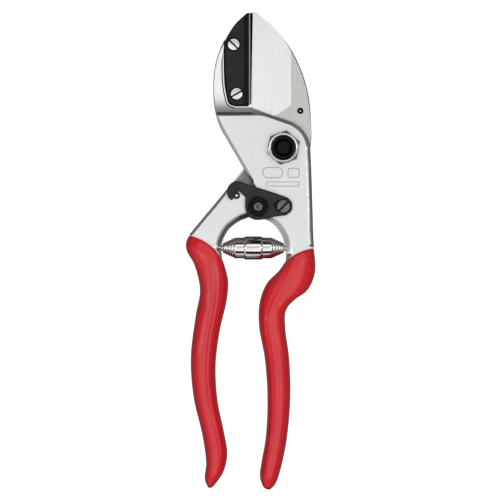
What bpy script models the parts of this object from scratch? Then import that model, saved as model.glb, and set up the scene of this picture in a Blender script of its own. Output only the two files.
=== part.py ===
"""Anvil pruner: a forged two-handle garden pruner whose blade closes on a flat anvil.

The tool lies on its back. The origin is on the pivot axis, in the plain back face of the
pivot bolt's head. +Y runs to the blade tip, +Z to the nut side, and +X to the anvil handle's
grip. Sizes are in millimetres and become metres in the meshes.
"""
import math

import bmesh
import bpy
from mathutils import Matrix, Vector

MM = 0.001

# ---- driving dimensions (mm) -------------------------------------------------------------
CLEARANCE = 0.3            # running gap between two pieces that touch

HEAD_TOP = 2.2             # pivot bolt head, from z = 0
ARM_BACK = 2.7             # both forged arms, back face
ARM_FRONT = 15.0           # both forged arms, front face
RECESS_FLOOR = 7.0         # blade handle's seat for the blade
BLADE_BACK = 7.3
BLADE_FRONT = 10.2
FRICTION_WASHER = (10.5, 10.9)
PLATE_BACK = 11.2          # underside of the anvil handle's front plate
JAW_BACK = 3.2
JAW_FRONT = 12.0
ANVIL_FLOOR = 5.7          # floor of the anvil's pocket
ANVIL_BACK = 6.0
ANVIL_FRONT = 12.6
CATCH_WASHER = (15.3, 15.7)
LEVER_BACK = 16.0
LEVER_FRONT = 18.4
LEVER_SEAT = 17.2          # floor of the counterbore for the catch screw's head
GRIP_THICKNESS = 17.7      # along z, from z = 0
MID_PLANE = GRIP_THICKNESS / 2

BOLT_RADIUS = 5.0
BUSH_RADIUS = 6.5
DISC_RADIUS = 11.6         # round end of the blade handle, about the pivot
SWEEP_RADIUS = 13.0        # what turns about the pivot stays inside this on the arm side
RECESS_RADIUS = 27.2       # end of the blade's seat, about the pivot
OPEN_ANGLE = 28.0          # degrees from closed to open
ARM_EDGE_OFFSET = 7.9      # pivot axis to the blade handle's straight outer edge
ARM_EDGE_ANGLE = 51.1      # degrees, direction of that edge

JAW_SHOULDER = 14.0        # y where the raised front face ends
JAW_SHOULDER_END = 17.8    # y where the jaw has its own thickness

SPRING_AXIS_Y = -43.8
SPRING_LEFT = -26.5
SPRING_RIGHT = 0.3

CATCH_PIVOT = (0.1, -25.6)
KNOB_CENTRE = (-11.0, -25.8)
CATCH_PIN = (-20.5, -20.8)
ANVIL_SCREWS = {"anvil_screw_upper": (-21.7, 45.3, -45.0), "anvil_screw_lower": (-20.4, 23.7, 30.0)}
BLADE_SCREW = (-14.6, -11.6)
BLADE_DOWEL = (-10.6, -6.2)

GRIP_WALL = 1.6
GRIP_POWER = 2.5           # superellipse exponent of the grip's section
TANG_POWER = 3.0
TANG_HALF_HEIGHT = 5.6
GRIP_SEGMENTS = 24
# where the grip's bore and the tang inside it have their sections, as fractions of the length
BORE_STATIONS = [0.0] + [0.07 + 0.81 * i / 11 for i in range(12)]

OUTLINE_STEP = 2.0         # spacing of the vertices along a smooth outline
RIM = 1.1                  # radius of the forgings' rims


# ---- plane geometry ----------------------------------------------------------------------
def polar(radius, degrees):
    angle = math.radians(degrees)
    return (radius * math.cos(angle), radius * math.sin(angle))


def arc(centre, radius, start, end, step=9.0):
    """Points on a circle from start to end, in degrees."""
    count = max(2, round(abs(end - start) / step))
    points = []
    for i in range(count + 1):
        x, y = polar(radius, start + (end - start) * i / count)
        points.append((centre[0] + x, centre[1] + y))
    return points


def catmull_rom(points, samples=24):
    """A dense smooth line through the given points."""
    pts = [Vector(p) for p in points]
    pts = [2 * pts[0] - pts[1]] + pts + [2 * pts[-1] - pts[-2]]
    dense = []
    for p0, p1, p2, p3 in zip(pts, pts[1:], pts[2:], pts[3:]):
        t1 = (p1 - p0).length ** 0.5
        t2 = t1 + (p2 - p1).length ** 0.5
        t3 = t2 + (p3 - p2).length ** 0.5
        for i in range(samples):
            t = t1 + (t2 - t1) * i / samples
            a1 = p0 * (t1 - t) / t1 + p1 * t / t1
            a2 = p1 * (t2 - t) / (t2 - t1) + p2 * (t - t1) / (t2 - t1)
            a3 = p2 * (t3 - t) / (t3 - t2) + p3 * (t - t2) / (t3 - t2)
            b1 = a1 * (t2 - t) / t2 + a2 * t / t2
            b2 = a2 * (t3 - t) / (t3 - t1) + a3 * (t - t1) / (t3 - t1)
            dense.append(b1 * (t2 - t) / (t2 - t1) + b2 * (t - t1) / (t2 - t1))
    dense.append(pts[-2])
    return dense


def at_fraction(line, fraction):
    """The point at a fraction of a dense line's length."""
    lengths = [(b - a).length for a, b in zip(line, line[1:])]
    target = fraction * sum(lengths)
    for a, b, length in zip(line, line[1:], lengths):
        if target <= length:
            return a.lerp(b, target / length)
        target -= length
    return line[-1].copy()


def curve(points, step=OUTLINE_STEP):
    """An evenly spaced smooth curve through the given points."""
    dense = catmull_rom(points)
    length = sum((b - a).length for a, b in zip(dense, dense[1:]))
    count = max(2, round(length / step))
    return [tuple(at_fraction(dense, i / count)) for i in range(count + 1)]


def chain(*stretches):
    """One closed outline from stretches that follow each other; repeated points are dropped."""
    outline = []
    for stretch in stretches:
        for point in stretch:
            if not outline or (Vector(point) - Vector(outline[-1])).length > 0.05:
                outline.append(point)
    if (Vector(outline[0]) - Vector(outline[-1])).length < 0.05:
        outline.pop()
    return outline


def room_inside(outline, index, normal):
    """How far it is from a vertex, along its inward normal, to the outline's other side."""
    here = Vector(outline[index])
    count = len(outline)
    nearest = math.inf
    for i in range(count):
        if i in (index, (index - 1) % count):
            continue
        start = Vector(outline[i]) - here
        edge = Vector(outline[(i + 1) % count]) - Vector(outline[i])
        across = normal.cross(edge)
        if abs(across) < 1e-9:
            continue
        distance = start.cross(edge) / across
        position = start.cross(normal) / across
        if distance > 0 and 0 <= position <= 1:
            nearest = min(nearest, distance)
    return nearest


def offset(outline, distance):
    """The closed counter-clockwise outline moved inwards, less at corners and where it is thin."""
    moved = []
    count = len(outline)
    for i in range(count):
        before, here, after = (Vector(outline[(i + k) % count]) for k in (-1, 0, 1))
        first = (here - before).normalized()
        second = (after - here).normalized()
        normal = Vector((-first.y - second.y, first.x + second.x)).normalized()
        reach = distance / max(0.6, normal.dot(Vector((-first.y, first.x))))
        along_edge = abs(normal.dot(first))
        shortest = min((here - before).length, (after - here).length)
        if distance > 0 and along_edge > 0.01:
            # a corner never slides past the middle of its shorter edge
            reach = min(reach, 0.45 * shortest / along_edge)
        if distance > 0:
            reach = min(reach, 0.35 * room_inside(outline, i, normal))
        moved.append(tuple(here + normal * reach))
    return moved


# ---- meshes and objects ------------------------------------------------------------------
def add_object(name, bm, material, smooth_angle=35.0):
    bmesh.ops.recalc_face_normals(bm, faces=bm.faces)
    bmesh.ops.triangulate(bm, faces=[face for face in bm.faces if len(face.verts) > 4])
    mesh = bpy.data.meshes.new(name)
    bm.to_mesh(mesh)
    bm.free()
    mesh.shade_smooth()
    mesh.set_sharp_from_angle(angle=math.radians(smooth_angle))
    obj = bpy.data.objects.new(name, mesh)
    bpy.context.scene.collection.objects.link(obj)
    if material:
        mesh.materials.append(material)
    return obj


def stack_mesh(outline, levels):
    """A prism through (inset, z) levels of one outline, capped at both ends."""
    bm = bmesh.new()
    rings = []
    for inset, z in levels:
        points = offset(outline, inset) if inset else outline
        rings.append([bm.verts.new((x * MM, y * MM, z * MM)) for x, y in points])
    join_rings(bm, rings)
    bm.faces.new(reversed(rings[0]))
    bm.faces.new(rings[-1])
    return bm


def join_rings(bm, rings, closed=False):
    """Quads between rings of equal length, and from the last ring to the first if closed."""
    pairs = list(zip(rings, rings[1:]))
    if closed:
        pairs.append((rings[-1], rings[0]))
    for lower, upper in pairs:
        count = len(lower)
        for i in range(count):
            j = (i + 1) % count
            bm.faces.new((lower[i], lower[j], upper[j], upper[i]))


def rounded(back, front, radius, steps=2):
    """Levels of a prism whose rims are rounded with the given radius."""
    quarter = [90.0 * i / steps for i in range(steps + 1)]
    front_rim = []
    for angle in quarter:
        sine, cosine = math.sin(math.radians(angle)), math.cos(math.radians(angle))
        front_rim.append((radius * (1 - cosine), front - radius * (1 - sine)))
    back_rim = [(inset, back + front - z) for inset, z in reversed(front_rim)]
    return back_rim + front_rim


def lathe_mesh(loop, segments, through=True, radius_limit=None):
    """A turned solid about z from (radius, z) points: a closed loop, or a line between poles."""
    bm = bmesh.new()
    angles = [360.0 * i / segments for i in range(segments)]
    rings = []
    for radius, z in loop:
        if radius == 0:
            rings.append([bm.verts.new((0, 0, z * MM))])
            continue
        ring = []
        for angle in angles:
            reach = radius if radius_limit is None else min(radius, radius_limit(angle, radius))
            x, y = polar(reach * MM, angle)
            ring.append(bm.verts.new((x, y, z * MM)))
        rings.append(ring)
    if through:
        join_rings(bm, rings, closed=True)
        return bm
    join_rings(bm, rings[1:-1])
    for pole, ring in ((rings[0][0], rings[1]), (rings[-1][0], rings[-2])):
        for i in range(segments):
            bm.faces.new((pole, ring[i], ring[(i + 1) % segments]))
    return bm


def turned(name, loop, material, at=(0, 0), segments=32, through=True, **extra):
    obj = add_object(name, lathe_mesh(loop, segments, through, **extra), material)
    obj.location = (at[0] * MM, at[1] * MM, 0)
    return obj


def tube_loop(inner, outer, back, front, chamfer=0.0):
    """The (radius, z) loop of a ring, with its outer corners broken by the chamfer."""
    loop = [(inner, back)]
    if chamfer:
        loop += [(outer - chamfer, back), (outer, back + chamfer)]
        loop += [(outer, front - chamfer), (outer - chamfer, front)]
    else:
        loop += [(outer, back), (outer, front)]
    loop.append((inner, front))
    return loop


def pin_line(radius, back, front, chamfer=0.2):
    """The (radius, z) line of a plain pin with broken ends."""
    return [(0, back), (radius - chamfer, back), (radius, back + chamfer),
            (radius, front - chamfer), (radius - chamfer, front), (0, front)]


def helper(obj):
    """Marks an object that only shapes another one."""
    obj.hide_render = True
    obj.display_type = "WIRE"
    return obj


def combine(target, tool):
    """Joins the tool to the target."""
    # plain triangles keep the Boolean exact
    target.modifiers.new("triangles", "TRIANGULATE")
    modifier = target.modifiers.new(tool.name, "BOOLEAN")
    modifier.operation = "UNION"
    modifier.solver = "EXACT"
    modifier.object = helper(tool)


def cut(target, tool):
    """Cuts the tool from the target; all the tools of one target are cut together."""
    name = f"{target.name}_cuts"
    tools = bpy.data.collections.get(name)
    if tools is None:
        tools = bpy.data.collections.new(name)
        bpy.context.scene.collection.children.link(tools)
        modifier = target.modifiers.new(name, "BOOLEAN")
        modifier.operation = "DIFFERENCE"
        modifier.solver = "EXACT"
        modifier.operand_type = "COLLECTION"
        modifier.collection = tools
    bpy.context.scene.collection.objects.unlink(tool)
    tools.objects.link(helper(tool))


def drill(target, label, at, radius, back, front, segments=24):
    tool = turned(f"cut_{label}", pin_line(radius, back, front, 0.01), None, at, segments, False)
    cut(target, tool)


def cut_slot(target, label, at, z, length, width, depth, degrees):
    """A screwdriver slot across a screw head whose face is at z."""
    bm = bmesh.new()
    bmesh.ops.create_cube(bm, size=1.0)
    size = Matrix.Diagonal((length * MM, width * MM, 2 * depth * MM, 1))
    bmesh.ops.transform(bm, matrix=size, verts=bm.verts)
    tool = add_object(f"cut_{label}", bm, None)
    tool.location = (at[0] * MM, at[1] * MM, z * MM)
    tool.rotation_euler = (0, 0, math.radians(degrees))
    cut(target, tool)


def material(name, colour, roughness, metallic=0.0):
    mat = bpy.data.materials.new(name)
    mat.use_nodes = True
    shader = mat.node_tree.nodes["Principled BSDF"]
    shader.inputs["Base Color"].default_value = (*colour, 1)
    shader.inputs["Roughness"].default_value = roughness
    shader.inputs["Metallic"].default_value = metallic
    mat.diffuse_color = (*colour, 1)
    return mat


# ---- the handles' outlines ---------------------------------------------------------------
# Each grip's silhouette, from its mouth to its tip: the side to -X and the side to +X.
BLADE_GRIP_EDGES = (
    [(-41.3, -38.2), (-42.7, -41.8), (-42.1, -45.6), (-39.2, -50.6), (-36.5, -62.0),
     (-38.4, -73.6), (-40.5, -91.6), (-39.3, -109.1), (-35.4, -126.0), (-33.8, -138.0),
     (-34.4, -145.1), (-33.0, -148.8)],
    [(-26.0, -50.4), (-24.2, -57.4), (-24.6, -66.0), (-27.7, -79.7), (-29.6, -95.0),
     (-28.8, -110.5), (-25.9, -124.8), (-24.5, -133.8), (-26.0, -141.5), (-30.0, -147.6),
     (-31.4, -148.9)],
)
ANVIL_GRIP_EDGES = (
    [(1.2, -49.4), (-1.8, -53.7), (-7.2, -59.3), (-10.3, -67.6), (-10.6, -77.6), (-8.0, -93.0),
     (-6.9, -110.0), (-7.7, -127.0), (-9.6, -138.1), (-10.2, -144.0), (-8.6, -148.7),
     (-7.2, -149.6)],
    [(13.5, -43.8), (14.1, -53.5), (12.5, -59.2), (10.0, -63.0), (5.2, -66.4), (1.3, -71.0),
     (0.9, -78.6), (2.6, -92.0), (3.1, -110.0), (1.5, -128.0), (-1.2, -141.0), (-3.4, -147.2),
     (-5.6, -149.6)],
)
BLADE_GRIP_BOW = 2.2       # how far the middle of the mouth stands above its two sides
ANVIL_GRIP_BOW = 0.8


class Grip:
    """A dipped sleeve: its sections run between two silhouette lines."""

    def __init__(self, edges, bow):
        self.low, self.high = (catmull_rom(edge) for edge in edges)
        self.bow = bow

    def section(self, t):
        """Centre, half width, unit vector across, and unit vector towards the mouth."""
        low, high = at_fraction(self.low, t), at_fraction(self.high, t)
        across = (high - low).normalized()
        return (low + high) / 2, (high - low).length / 2, across, Vector((-across.y, across.x))

    def mouth(self, lift, end=1.0, count=6):
        """The mouth's line in plan from the low side on, moved along the handle by lift."""
        centre, half, across, along = self.section(0.0)
        line = []
        for i in range(count + 1):
            u = (1 + end) * i / count - 1
            line.append(tuple(centre + across * half * u + along * (lift + self.bow * (1 - u * u))))
        return line

    def ring(self, bm, t, inset, half_height, power, lift=0.0, segments=GRIP_SEGMENTS):
        """One ring of vertices of the section at t."""
        centre, half, across, along = self.section(t)
        bow = self.bow * max(0.0, 1 - t / 0.15)
        ring = []
        for i in range(segments):
            angle = 2 * math.pi * i / segments
            cosine, sine = math.cos(angle), math.sin(angle)
            u = math.copysign(abs(cosine) ** (2 / power), cosine) * (half - inset)
            v = math.copysign(abs(sine) ** (2 / power), sine) * half_height
            flat = centre + across * u + along * (lift + bow * (1 - (u / half) ** 2))
            ring.append(bm.verts.new((flat.x * MM, flat.y * MM, (MID_PLANE + v) * MM)))
        return ring


def grip_half_height(t):
    """Full height along the grip, a slightly lower mouth and a round tip."""
    full = GRIP_THICKNESS / 2
    if t < 0.06:
        return full - 0.7 * (1 - t / 0.06) ** 2
    tip = max(0.0, (t - 0.90) / 0.10)
    return full * (0.22 + 0.78 * math.sqrt(max(0.0, 1 - tip ** 2.4)))


def make_grip(name, grip, mat):
    """The sleeve: outer skin, closed tip, and a bore that is open at the mouth."""
    bm = bmesh.new()
    outer_stations = [0.0, 0.012, 0.035] + [0.07 + 0.83 * i / 14 for i in range(15)]
    outer_stations += [0.93, 0.955, 0.975, 0.99, 1.0]
    outer = []
    for t in outer_stations:
        inset = 0.5 if t == 0.0 else 0.0
        outer.append(grip.ring(bm, t, inset, grip_half_height(t) - inset, GRIP_POWER))
    bore = []
    for t in BORE_STATIONS:
        bore.append(grip.ring(bm, t, GRIP_WALL, TANG_HALF_HEIGHT + CLEARANCE, TANG_POWER))
    join_rings(bm, list(reversed(outer)) + bore)
    bm.faces.new(outer[-1])
    bm.faces.new(bore[-1])
    return add_object(name, bm, mat, 50.0)


def add_tang(handle, label, grip):
    """The forging's tongue inside the grip, rooted inside the arm above the mouth."""
    bm = bmesh.new()
    inset, root_lift = GRIP_WALL + CLEARANCE, 1.6
    root_inset = 0.66 * grip.section(0.0)[1]
    rings = [grip.ring(bm, 0.0, root_inset, TANG_HALF_HEIGHT - 1, TANG_POWER, root_lift)]
    for t in BORE_STATIONS[:-1]:
        rings.append(grip.ring(bm, t, inset, TANG_HALF_HEIGHT, TANG_POWER))
    join_rings(bm, rings)
    bm.faces.new(rings[0])
    bm.faces.new(rings[-1])
    combine(handle, add_object(f"join_{label}", bm, None))


def arm_edge_point(distance, along, turned_by=0.0):
    """A point on a line parallel to the blade handle's outer edge, measured from its foot."""
    angle = ARM_EDGE_ANGLE - turned_by
    nx, ny = polar(distance, angle + 90)
    dx, dy = polar(along, angle)
    return (nx + dx, ny + dy)


def chord(radius, distance):
    """Half the chord that a line at this distance cuts from a circle about the pivot."""
    return math.sqrt(radius ** 2 - distance ** 2)


# ---- anvil handle ------------------------------------------------------------------------
def jaw_drop(y):
    """How much the concave shoulder has lowered the front face at y, from 0 to 1."""
    s = min(1.0, max(0.0, (y - JAW_SHOULDER) / (JAW_SHOULDER_END - JAW_SHOULDER)))
    return math.sqrt(1 - (1 - s) ** 2)


def anvil_handle_outline(grip):
    jaw_back = curve([(-16.2, 59.0), (-20.8, 54.6), (-25.7, 47.4), (-29.5, 37.7), (-30.7, 25.6),
                      (-29.6, 14.9), (-27.6, 9.1), (-25.1, 4.6)])
    diagonal = [(-25.1, 4.6), (-13.9, -14.9)]
    seam = curve([(-13.4, -15.9), (-12.0, -19.0), (-11.5, -22.5), (-11.5, -27.0), (-11.2, -29.6)])
    opening = curve([(-10.3, -31.0), (-7.5, -31.5), (-3.4, -34.3), (0.1, -39.9), (1.25, -46.2)])
    side = curve([(13.2, -39.0), (12.8, -26.0), (12.2, -7.4), (11.9, -0.8)], 4.0)
    shoulder = curve([(11.9, -0.8), (11.3, 2.9), (9.6, 6.6), (6.9, 9.5), (3.9, 11.4)])
    top = curve([(3.9, 11.4), (-5.8, 14.8), (-13.2, 17.4)], 3.0)
    jaw_front = [(-15.3, 18.5), (-15.3, 59.3)]
    return chain(jaw_back, diagonal, seam, opening, grip.mouth(CLEARANCE), side, shoulder, top,
                 jaw_front)


def anvil_outline():
    nose = curve([(-16.1, 58.9), (-20.7, 54.6), (-23.3, 51.0), (-25.0, 47.9)])
    back = curve([(-25.4, 46.0), (-25.5, 37.0), (-25.1, 27.5), (-24.1, 21.7)], 3.0)
    corner = curve([(-24.1, 21.7), (-23.2, 19.7), (-21.0, 18.8)], 1.0)
    return chain(nose, back, corner, [(-14.45, 18.8), (-14.45, 59.2)])


def under_plate_outline():
    """Everything that the blade handle and the blade sweep behind the front plate."""
    stop = ARM_EDGE_OFFSET + 0.35
    root_x = -14.6
    # the opening stop is parallel to the outer edge of the fully open blade handle
    nx, ny = polar(1.0, ARM_EDGE_ANGLE + 90 - OPEN_ANGLE)
    stop_end = (root_x, (stop - nx * root_x) / ny)
    stop_start = (-40.0, (stop + nx * 40.0) / ny)
    sweep = arc((0, 0), SWEEP_RADIUS, 245.0, 342.0)
    return chain([(30.0, 30.0), (root_x, 30.0), stop_end, stop_start, (-40.0, -22.0),
                  (-11.4, -19.8)], sweep, [(30.0, sweep[-1][1])])


def make_anvil_handle(grip, mat):
    bm = stack_mesh(anvil_handle_outline(grip), rounded(ARM_BACK, ARM_FRONT, RIM))
    for part in (0.0, 0.03, 0.12, 0.28, 0.5, 0.75, 1.0):
        y = JAW_SHOULDER + part * (JAW_SHOULDER_END - JAW_SHOULDER)
        geometry = bm.verts[:] + bm.edges[:] + bm.faces[:]
        bmesh.ops.bisect_plane(bm, geom=geometry, plane_co=(0, y * MM, 0), plane_no=(0, 1, 0))
    for vert in bm.verts:
        drop = jaw_drop(vert.co.y / MM)
        if vert.co.z > MID_PLANE * MM:
            vert.co.z -= drop * (ARM_FRONT - JAW_FRONT) * MM
        else:
            vert.co.z += drop * (JAW_BACK - ARM_BACK) * MM
    handle = add_object("anvil_handle", bm, mat)

    space = stack_mesh(under_plate_outline(), [(0.0, 1.0), (0.0, PLATE_BACK)])
    cut(handle, add_object("cut_under_plate", space, None))

    bm = stack_mesh(offset(anvil_outline(), -0.6), [(0.0, ANVIL_FLOOR), (0.0, 20.0)])
    cut(handle, add_object("cut_anvil_pocket", bm, None))
    # the pocket's wall ends where it would run out into a feather edge
    nose = [(-32.0, 47.4), (-10.0, 47.4), (-10.0, 65.0), (-32.0, 65.0)]
    bm = stack_mesh(nose, [(0.0, ANVIL_FLOOR), (0.0, 20.0)])
    cut(handle, add_object("cut_anvil_nose", bm, None))

    drill(handle, "pivot_bore_front", (0, 0), BUSH_RADIUS + CLEARANCE, 5.0, 20.0, 40)
    for name, (x, y, _) in ANVIL_SCREWS.items():
        drill(handle, f"{name}_thread", (x, y), 1.8, 0.0, 9.0, 16)
    drill(handle, "catch_thread", CATCH_PIVOT, 2.3, 8.7, 20.0)
    drill_sideways(handle, "stud_seat_right", 0.0, 3.8, 1.5)
    add_tang(handle, "anvil_tang", grip)


def drill_sideways(target, label, start, end, radius):
    """A blind hole along x on the spring's axis."""
    tool = turned(f"cut_{label}", pin_line(radius, start, end, 0.01), None, (0, 0), 16, False)
    tool.location = (0, SPRING_AXIS_Y * MM, MID_PLANE * MM)
    tool.rotation_euler = (0, math.radians(90), 0)
    cut(target, tool)


# ---- blade handle ------------------------------------------------------------------------
def blade_handle_outline(grip):
    tangent = chord(DISC_RADIUS, ARM_EDGE_OFFSET)
    edge_top = arm_edge_point(ARM_EDGE_OFFSET, -tangent)
    straight_end = arm_edge_point(ARM_EDGE_OFFSET, -38.0)
    straight = curve([edge_top, straight_end], 3.5)
    # the arm ends short of the mouth's inner corner, which would be a feather edge
    mouth = grip.mouth(CLEARANCE, 0.85)
    flare = curve([straight_end, arm_edge_point(ARM_EDGE_OFFSET + 0.2, -46.0), mouth[0]], 3.5)
    opening = curve([(-27.1, -45.4), (-27.0, -42.2), (-26.0, -39.2), (-23.5, -35.3),
                     (-18.9, -31.9), (-14.6, -30.3), (-13.0, -29.8)])
    seam = curve([(-12.1, -28.6), (-12.1, -25.0), (-12.2, -22.0), (-12.9, -18.7)], 2.0)
    start = math.degrees(math.atan2(edge_top[1], edge_top[0])) % 360
    disc = arc((0, 0), DISC_RADIUS, 244.5, 360.0 + start)
    return chain(straight, flare, mouth, opening, seam, disc)


def make_blade_handle(grip, mat):
    bm = stack_mesh(blade_handle_outline(grip), rounded(ARM_BACK, ARM_FRONT, RIM))
    handle = add_object("blade_handle", bm, mat)
    drill(handle, "blade_recess", (0, 0), RECESS_RADIUS, RECESS_FLOOR, 20.0, 96)
    drill(handle, "pivot_bore_rear", (0, 0), BUSH_RADIUS + CLEARANCE, 0.0, 9.0, 40)
    drill(handle, "catch_pin_hole", CATCH_PIN, 1.7, 9.2, 20.0, 20)
    drill(handle, "blade_screw_hole", BLADE_SCREW, 1.8, 0.0, 9.0, 20)
    drill(handle, "blade_screw_seat", BLADE_SCREW, 3.3, 0.0, 4.7)
    drill(handle, "blade_dowel_hole", BLADE_DOWEL, 1.5, 4.2, 9.0, 16)
    drill_sideways(handle, "stud_seat_left", -28.6, -26.0, 1.5)
    add_tang(handle, "blade_tang", grip)


# ---- blade -------------------------------------------------------------------------------
def blade_outline():
    edge_gap = ARM_EDGE_OFFSET - 0.8
    tail_radius = RECESS_RADIUS - CLEARANCE
    tail_corner = arm_edge_point(edge_gap, -chord(tail_radius, edge_gap))
    heel = curve([(-14.05, 17.8), (-13.95, 6.0), (-13.5, -1.5),
                  arm_edge_point(edge_gap, -13.4)], 3.0)
    start = math.degrees(math.atan2(tail_corner[1], tail_corner[0])) % 360
    tail = arc((0, 0), tail_radius, start, 234.6, 4.0)
    disc = arc((0, 0), DISC_RADIUS - CLEARANCE, 243.0, 330.0)
    back = curve([(11.3, -3.2), (12.3, 3.0), (12.3, 9.7), (11.3, 22.0), (8.4, 32.9), (3.2, 43.7),
                  (-4.5, 53.3), (-11.6, 59.7)], 2.0)
    return chain([(-13.3, 60.0)], heel, [tail_corner], tail, disc, back)


def bevel_tool(label, front):
    """A wedge that grinds one side of the blade down to the cutting edge."""
    ridge_x, shoulder_y = 3.4, 18.7
    fall = (BLADE_FRONT - BLADE_BACK - CLEARANCE) / 2 / (ridge_x + 14.0)
    outline = [(ridge_x, shoulder_y), (ridge_x, 75.0), (-30.0, 75.0), (-30.0, -3.6)]
    bm = bmesh.new()
    rings = []
    for far in (False, True):
        ring = []
        for x, y in outline:
            drop = (ridge_x - x) * fall
            z = 20.0 if far else BLADE_FRONT - drop
            if not front:
                z = -10.0 if far else BLADE_BACK + drop
            ring.append(bm.verts.new((x * MM, y * MM, z * MM)))
        rings.append(ring)
    join_rings(bm, rings)
    bm.faces.new(rings[0])
    bm.faces.new(rings[1])
    return add_object(f"cut_{label}", bm, None)


def make_blade(mat):
    bm = stack_mesh(blade_outline(), [(0.0, BLADE_BACK), (0.0, BLADE_FRONT)])
    blade = add_object("blade", bm, mat)
    cut(blade, bevel_tool("bevel_front", True))
    cut(blade, bevel_tool("bevel_back", False))
    drill(blade, "blade_pivot_bore", (0, 0), BUSH_RADIUS + CLEARANCE, 5.0, 12.0, 40)
    drill(blade, "blade_sap_hole", (7.5, 16.3), 1.4, 5.0, 12.0, 16)
    drill(blade, "blade_thread", BLADE_SCREW, 1.8, 5.0, 12.0, 20)
    drill(blade, "blade_dowel_seat", BLADE_DOWEL, 1.5, 5.0, 12.0, 16)
    return blade


# ---- anvil -------------------------------------------------------------------------------
def make_anvil(mat):
    levels = [(0.0, ANVIL_BACK), (0.0, ANVIL_FRONT - 0.45), (0.45, ANVIL_FRONT)]
    anvil = add_object("anvil", stack_mesh(anvil_outline(), levels), mat)
    for name, (x, y, _) in ANVIL_SCREWS.items():
        drill(anvil, f"{name}_hole", (x, y), 1.8, 4.0, 14.0, 16)
        drill(anvil, f"{name}_seat", (x, y), 3.15, 10.3, 14.0)
    return anvil


def make_slotted_screw(name, at, slot_angle, back, seat, front, shank, head, mat):
    """A cheese-head screw: shank from back to seat, head from seat to front."""
    line = [(0, back), (shank - 0.3, back), (shank, back + 0.4), (shank, seat), (head, seat),
            (head, front - 0.35), (head - 0.35, front), (0, front)]
    screw = turned(name, line, mat, at, 24, False)
    cut_slot(screw, f"{name}_slot", at, front, 2 * head + 1, 0.8, 0.7, slot_angle)
    return screw


# ---- pivot -------------------------------------------------------------------------------
def hex_radius(across_flats, turn):
    """The reach of a hexagon in any direction."""
    def reach(angle, radius):
        folded = (angle - turn) % 60.0 - 30.0
        return across_flats / 2 / math.cos(math.radians(folded))
    return reach


def make_pivot(steel, zinc):
    bolt_line = [(0, 0), (6.7, 0), (7.2, 0.5), (7.2, HEAD_TOP), (BOLT_RADIUS, HEAD_TOP),
                 (BOLT_RADIUS, 18.3), (BOLT_RADIUS - 0.4, 18.7), (3.6, 18.7), (2.2, 17.2), (0, 17.2)]
    turned("pivot_bolt", bolt_line, steel, (0, 0), 40, False)
    bush = tube_loop(BOLT_RADIUS + CLEARANCE, BUSH_RADIUS, HEAD_TOP + CLEARANCE, ARM_FRONT)
    turned("pivot_bush", bush, zinc, (0, 0), 40)
    turned("friction_washer", tube_loop(7.2, 11.0, *FRICTION_WASHER), zinc, (0, 0), 40)
    nut_back, nut_front, bore = ARM_FRONT + CLEARANCE, 19.6, BOLT_RADIUS + CLEARANCE
    nut = [(bore, nut_back), (7.2, nut_back), (7.9, nut_back + 0.4), (7.9, nut_front - 0.85),
           (7.2, nut_front - 0.42), (6.5, nut_front), (bore + 0.3, nut_front),
           (bore, nut_front - 0.3)]
    # the bore is smaller than the hexagon, so the limit only shapes the outside
    turned("pivot_nut", nut, zinc, (0, 0), 60, radius_limit=hex_radius(13.3, 20.0))


# ---- catch -------------------------------------------------------------------------------
def lever_outline():
    hook = curve([(-18.6, -14.8), (-21.6, -14.8), (-24.2, -17.2), (-24.4, -20.9), (-22.9, -22.9)], 0.9)
    notch = curve([(-22.2, -22.8), (-21.5, -21.2), (-20.6, -19.6), (-19.0, -19.1), (-17.3, -19.9),
                   (-16.6, -21.8)], 0.8)
    neck = curve([(-16.6, -21.8), (-16.7, -26.0), (-15.6, -29.6), (-12.9, -31.4), (-9.6, -31.5),
                  (-5.8, -30.6), (-2.0, -29.9)], 1.2)
    round_end = curve([(-2.0, -29.9), (1.4, -29.3), (3.7, -27.1), (3.7, -24.0), (1.9, -21.8)], 1.0)
    top = curve([(1.9, -21.8), (-3.2, -20.0), (-10.0, -17.8), (-15.0, -16.2), (-18.6, -14.8)], 2.0)
    return chain(hook, notch, neck, round_end, top)


def make_catch(black, steel, zinc):
    outline = lever_outline()
    levels = rounded(LEVER_BACK, LEVER_FRONT, 0.5)
    lever = add_object("catch_lever", stack_mesh(outline, levels), black)
    drill(lever, "catch_lever_bore", CATCH_PIVOT, 2.3, 14.0, 20.0)
    drill(lever, "catch_screw_seat", CATCH_PIVOT, 3.2, LEVER_SEAT, 20.0)
    drill(lever, "catch_knob_bore", KNOB_CENTRE, 1.6, 14.0, 20.0, 16)
    make_slotted_screw("catch_screw", CATCH_PIVOT, 45.0, 9.0, LEVER_SEAT + CLEARANCE, 18.9, 2.0,
                       2.9, steel)
    turned("catch_washer", tube_loop(2.3, 3.4, *CATCH_WASHER), zinc, CATCH_PIVOT, 24)
    turned("catch_pin", pin_line(1.4, 9.5, CATCH_WASHER[1], 0.25), steel, CATCH_PIN, 20, False)

    teeth = 22
    def knurl(angle, radius):
        ridge = abs((angle * teeth / 360.0) % 1.0 - 0.5) * 2
        return radius if radius < 4.0 else radius - 0.45 * (1 - ridge)
    back, front = LEVER_FRONT + CLEARANCE, 21.6
    knob = [(1.6, back), (4.1, back), (4.5, back + 0.4), (4.5, front - 0.5), (3.9, front),
            (1.6, front)]
    turned("catch_knob", knob, black, KNOB_CENTRE, 2 * teeth, radius_limit=knurl)
    rivet = [(0, LEVER_BACK), (1.3, LEVER_BACK), (1.3, front + CLEARANCE), (1.95, front + CLEARANCE),
             (1.95, front + 0.6), (1.5, front + 0.9), (0, front + 0.95)]
    turned("catch_knob_rivet", rivet, zinc, KNOB_CENTRE, 20, False)


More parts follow.
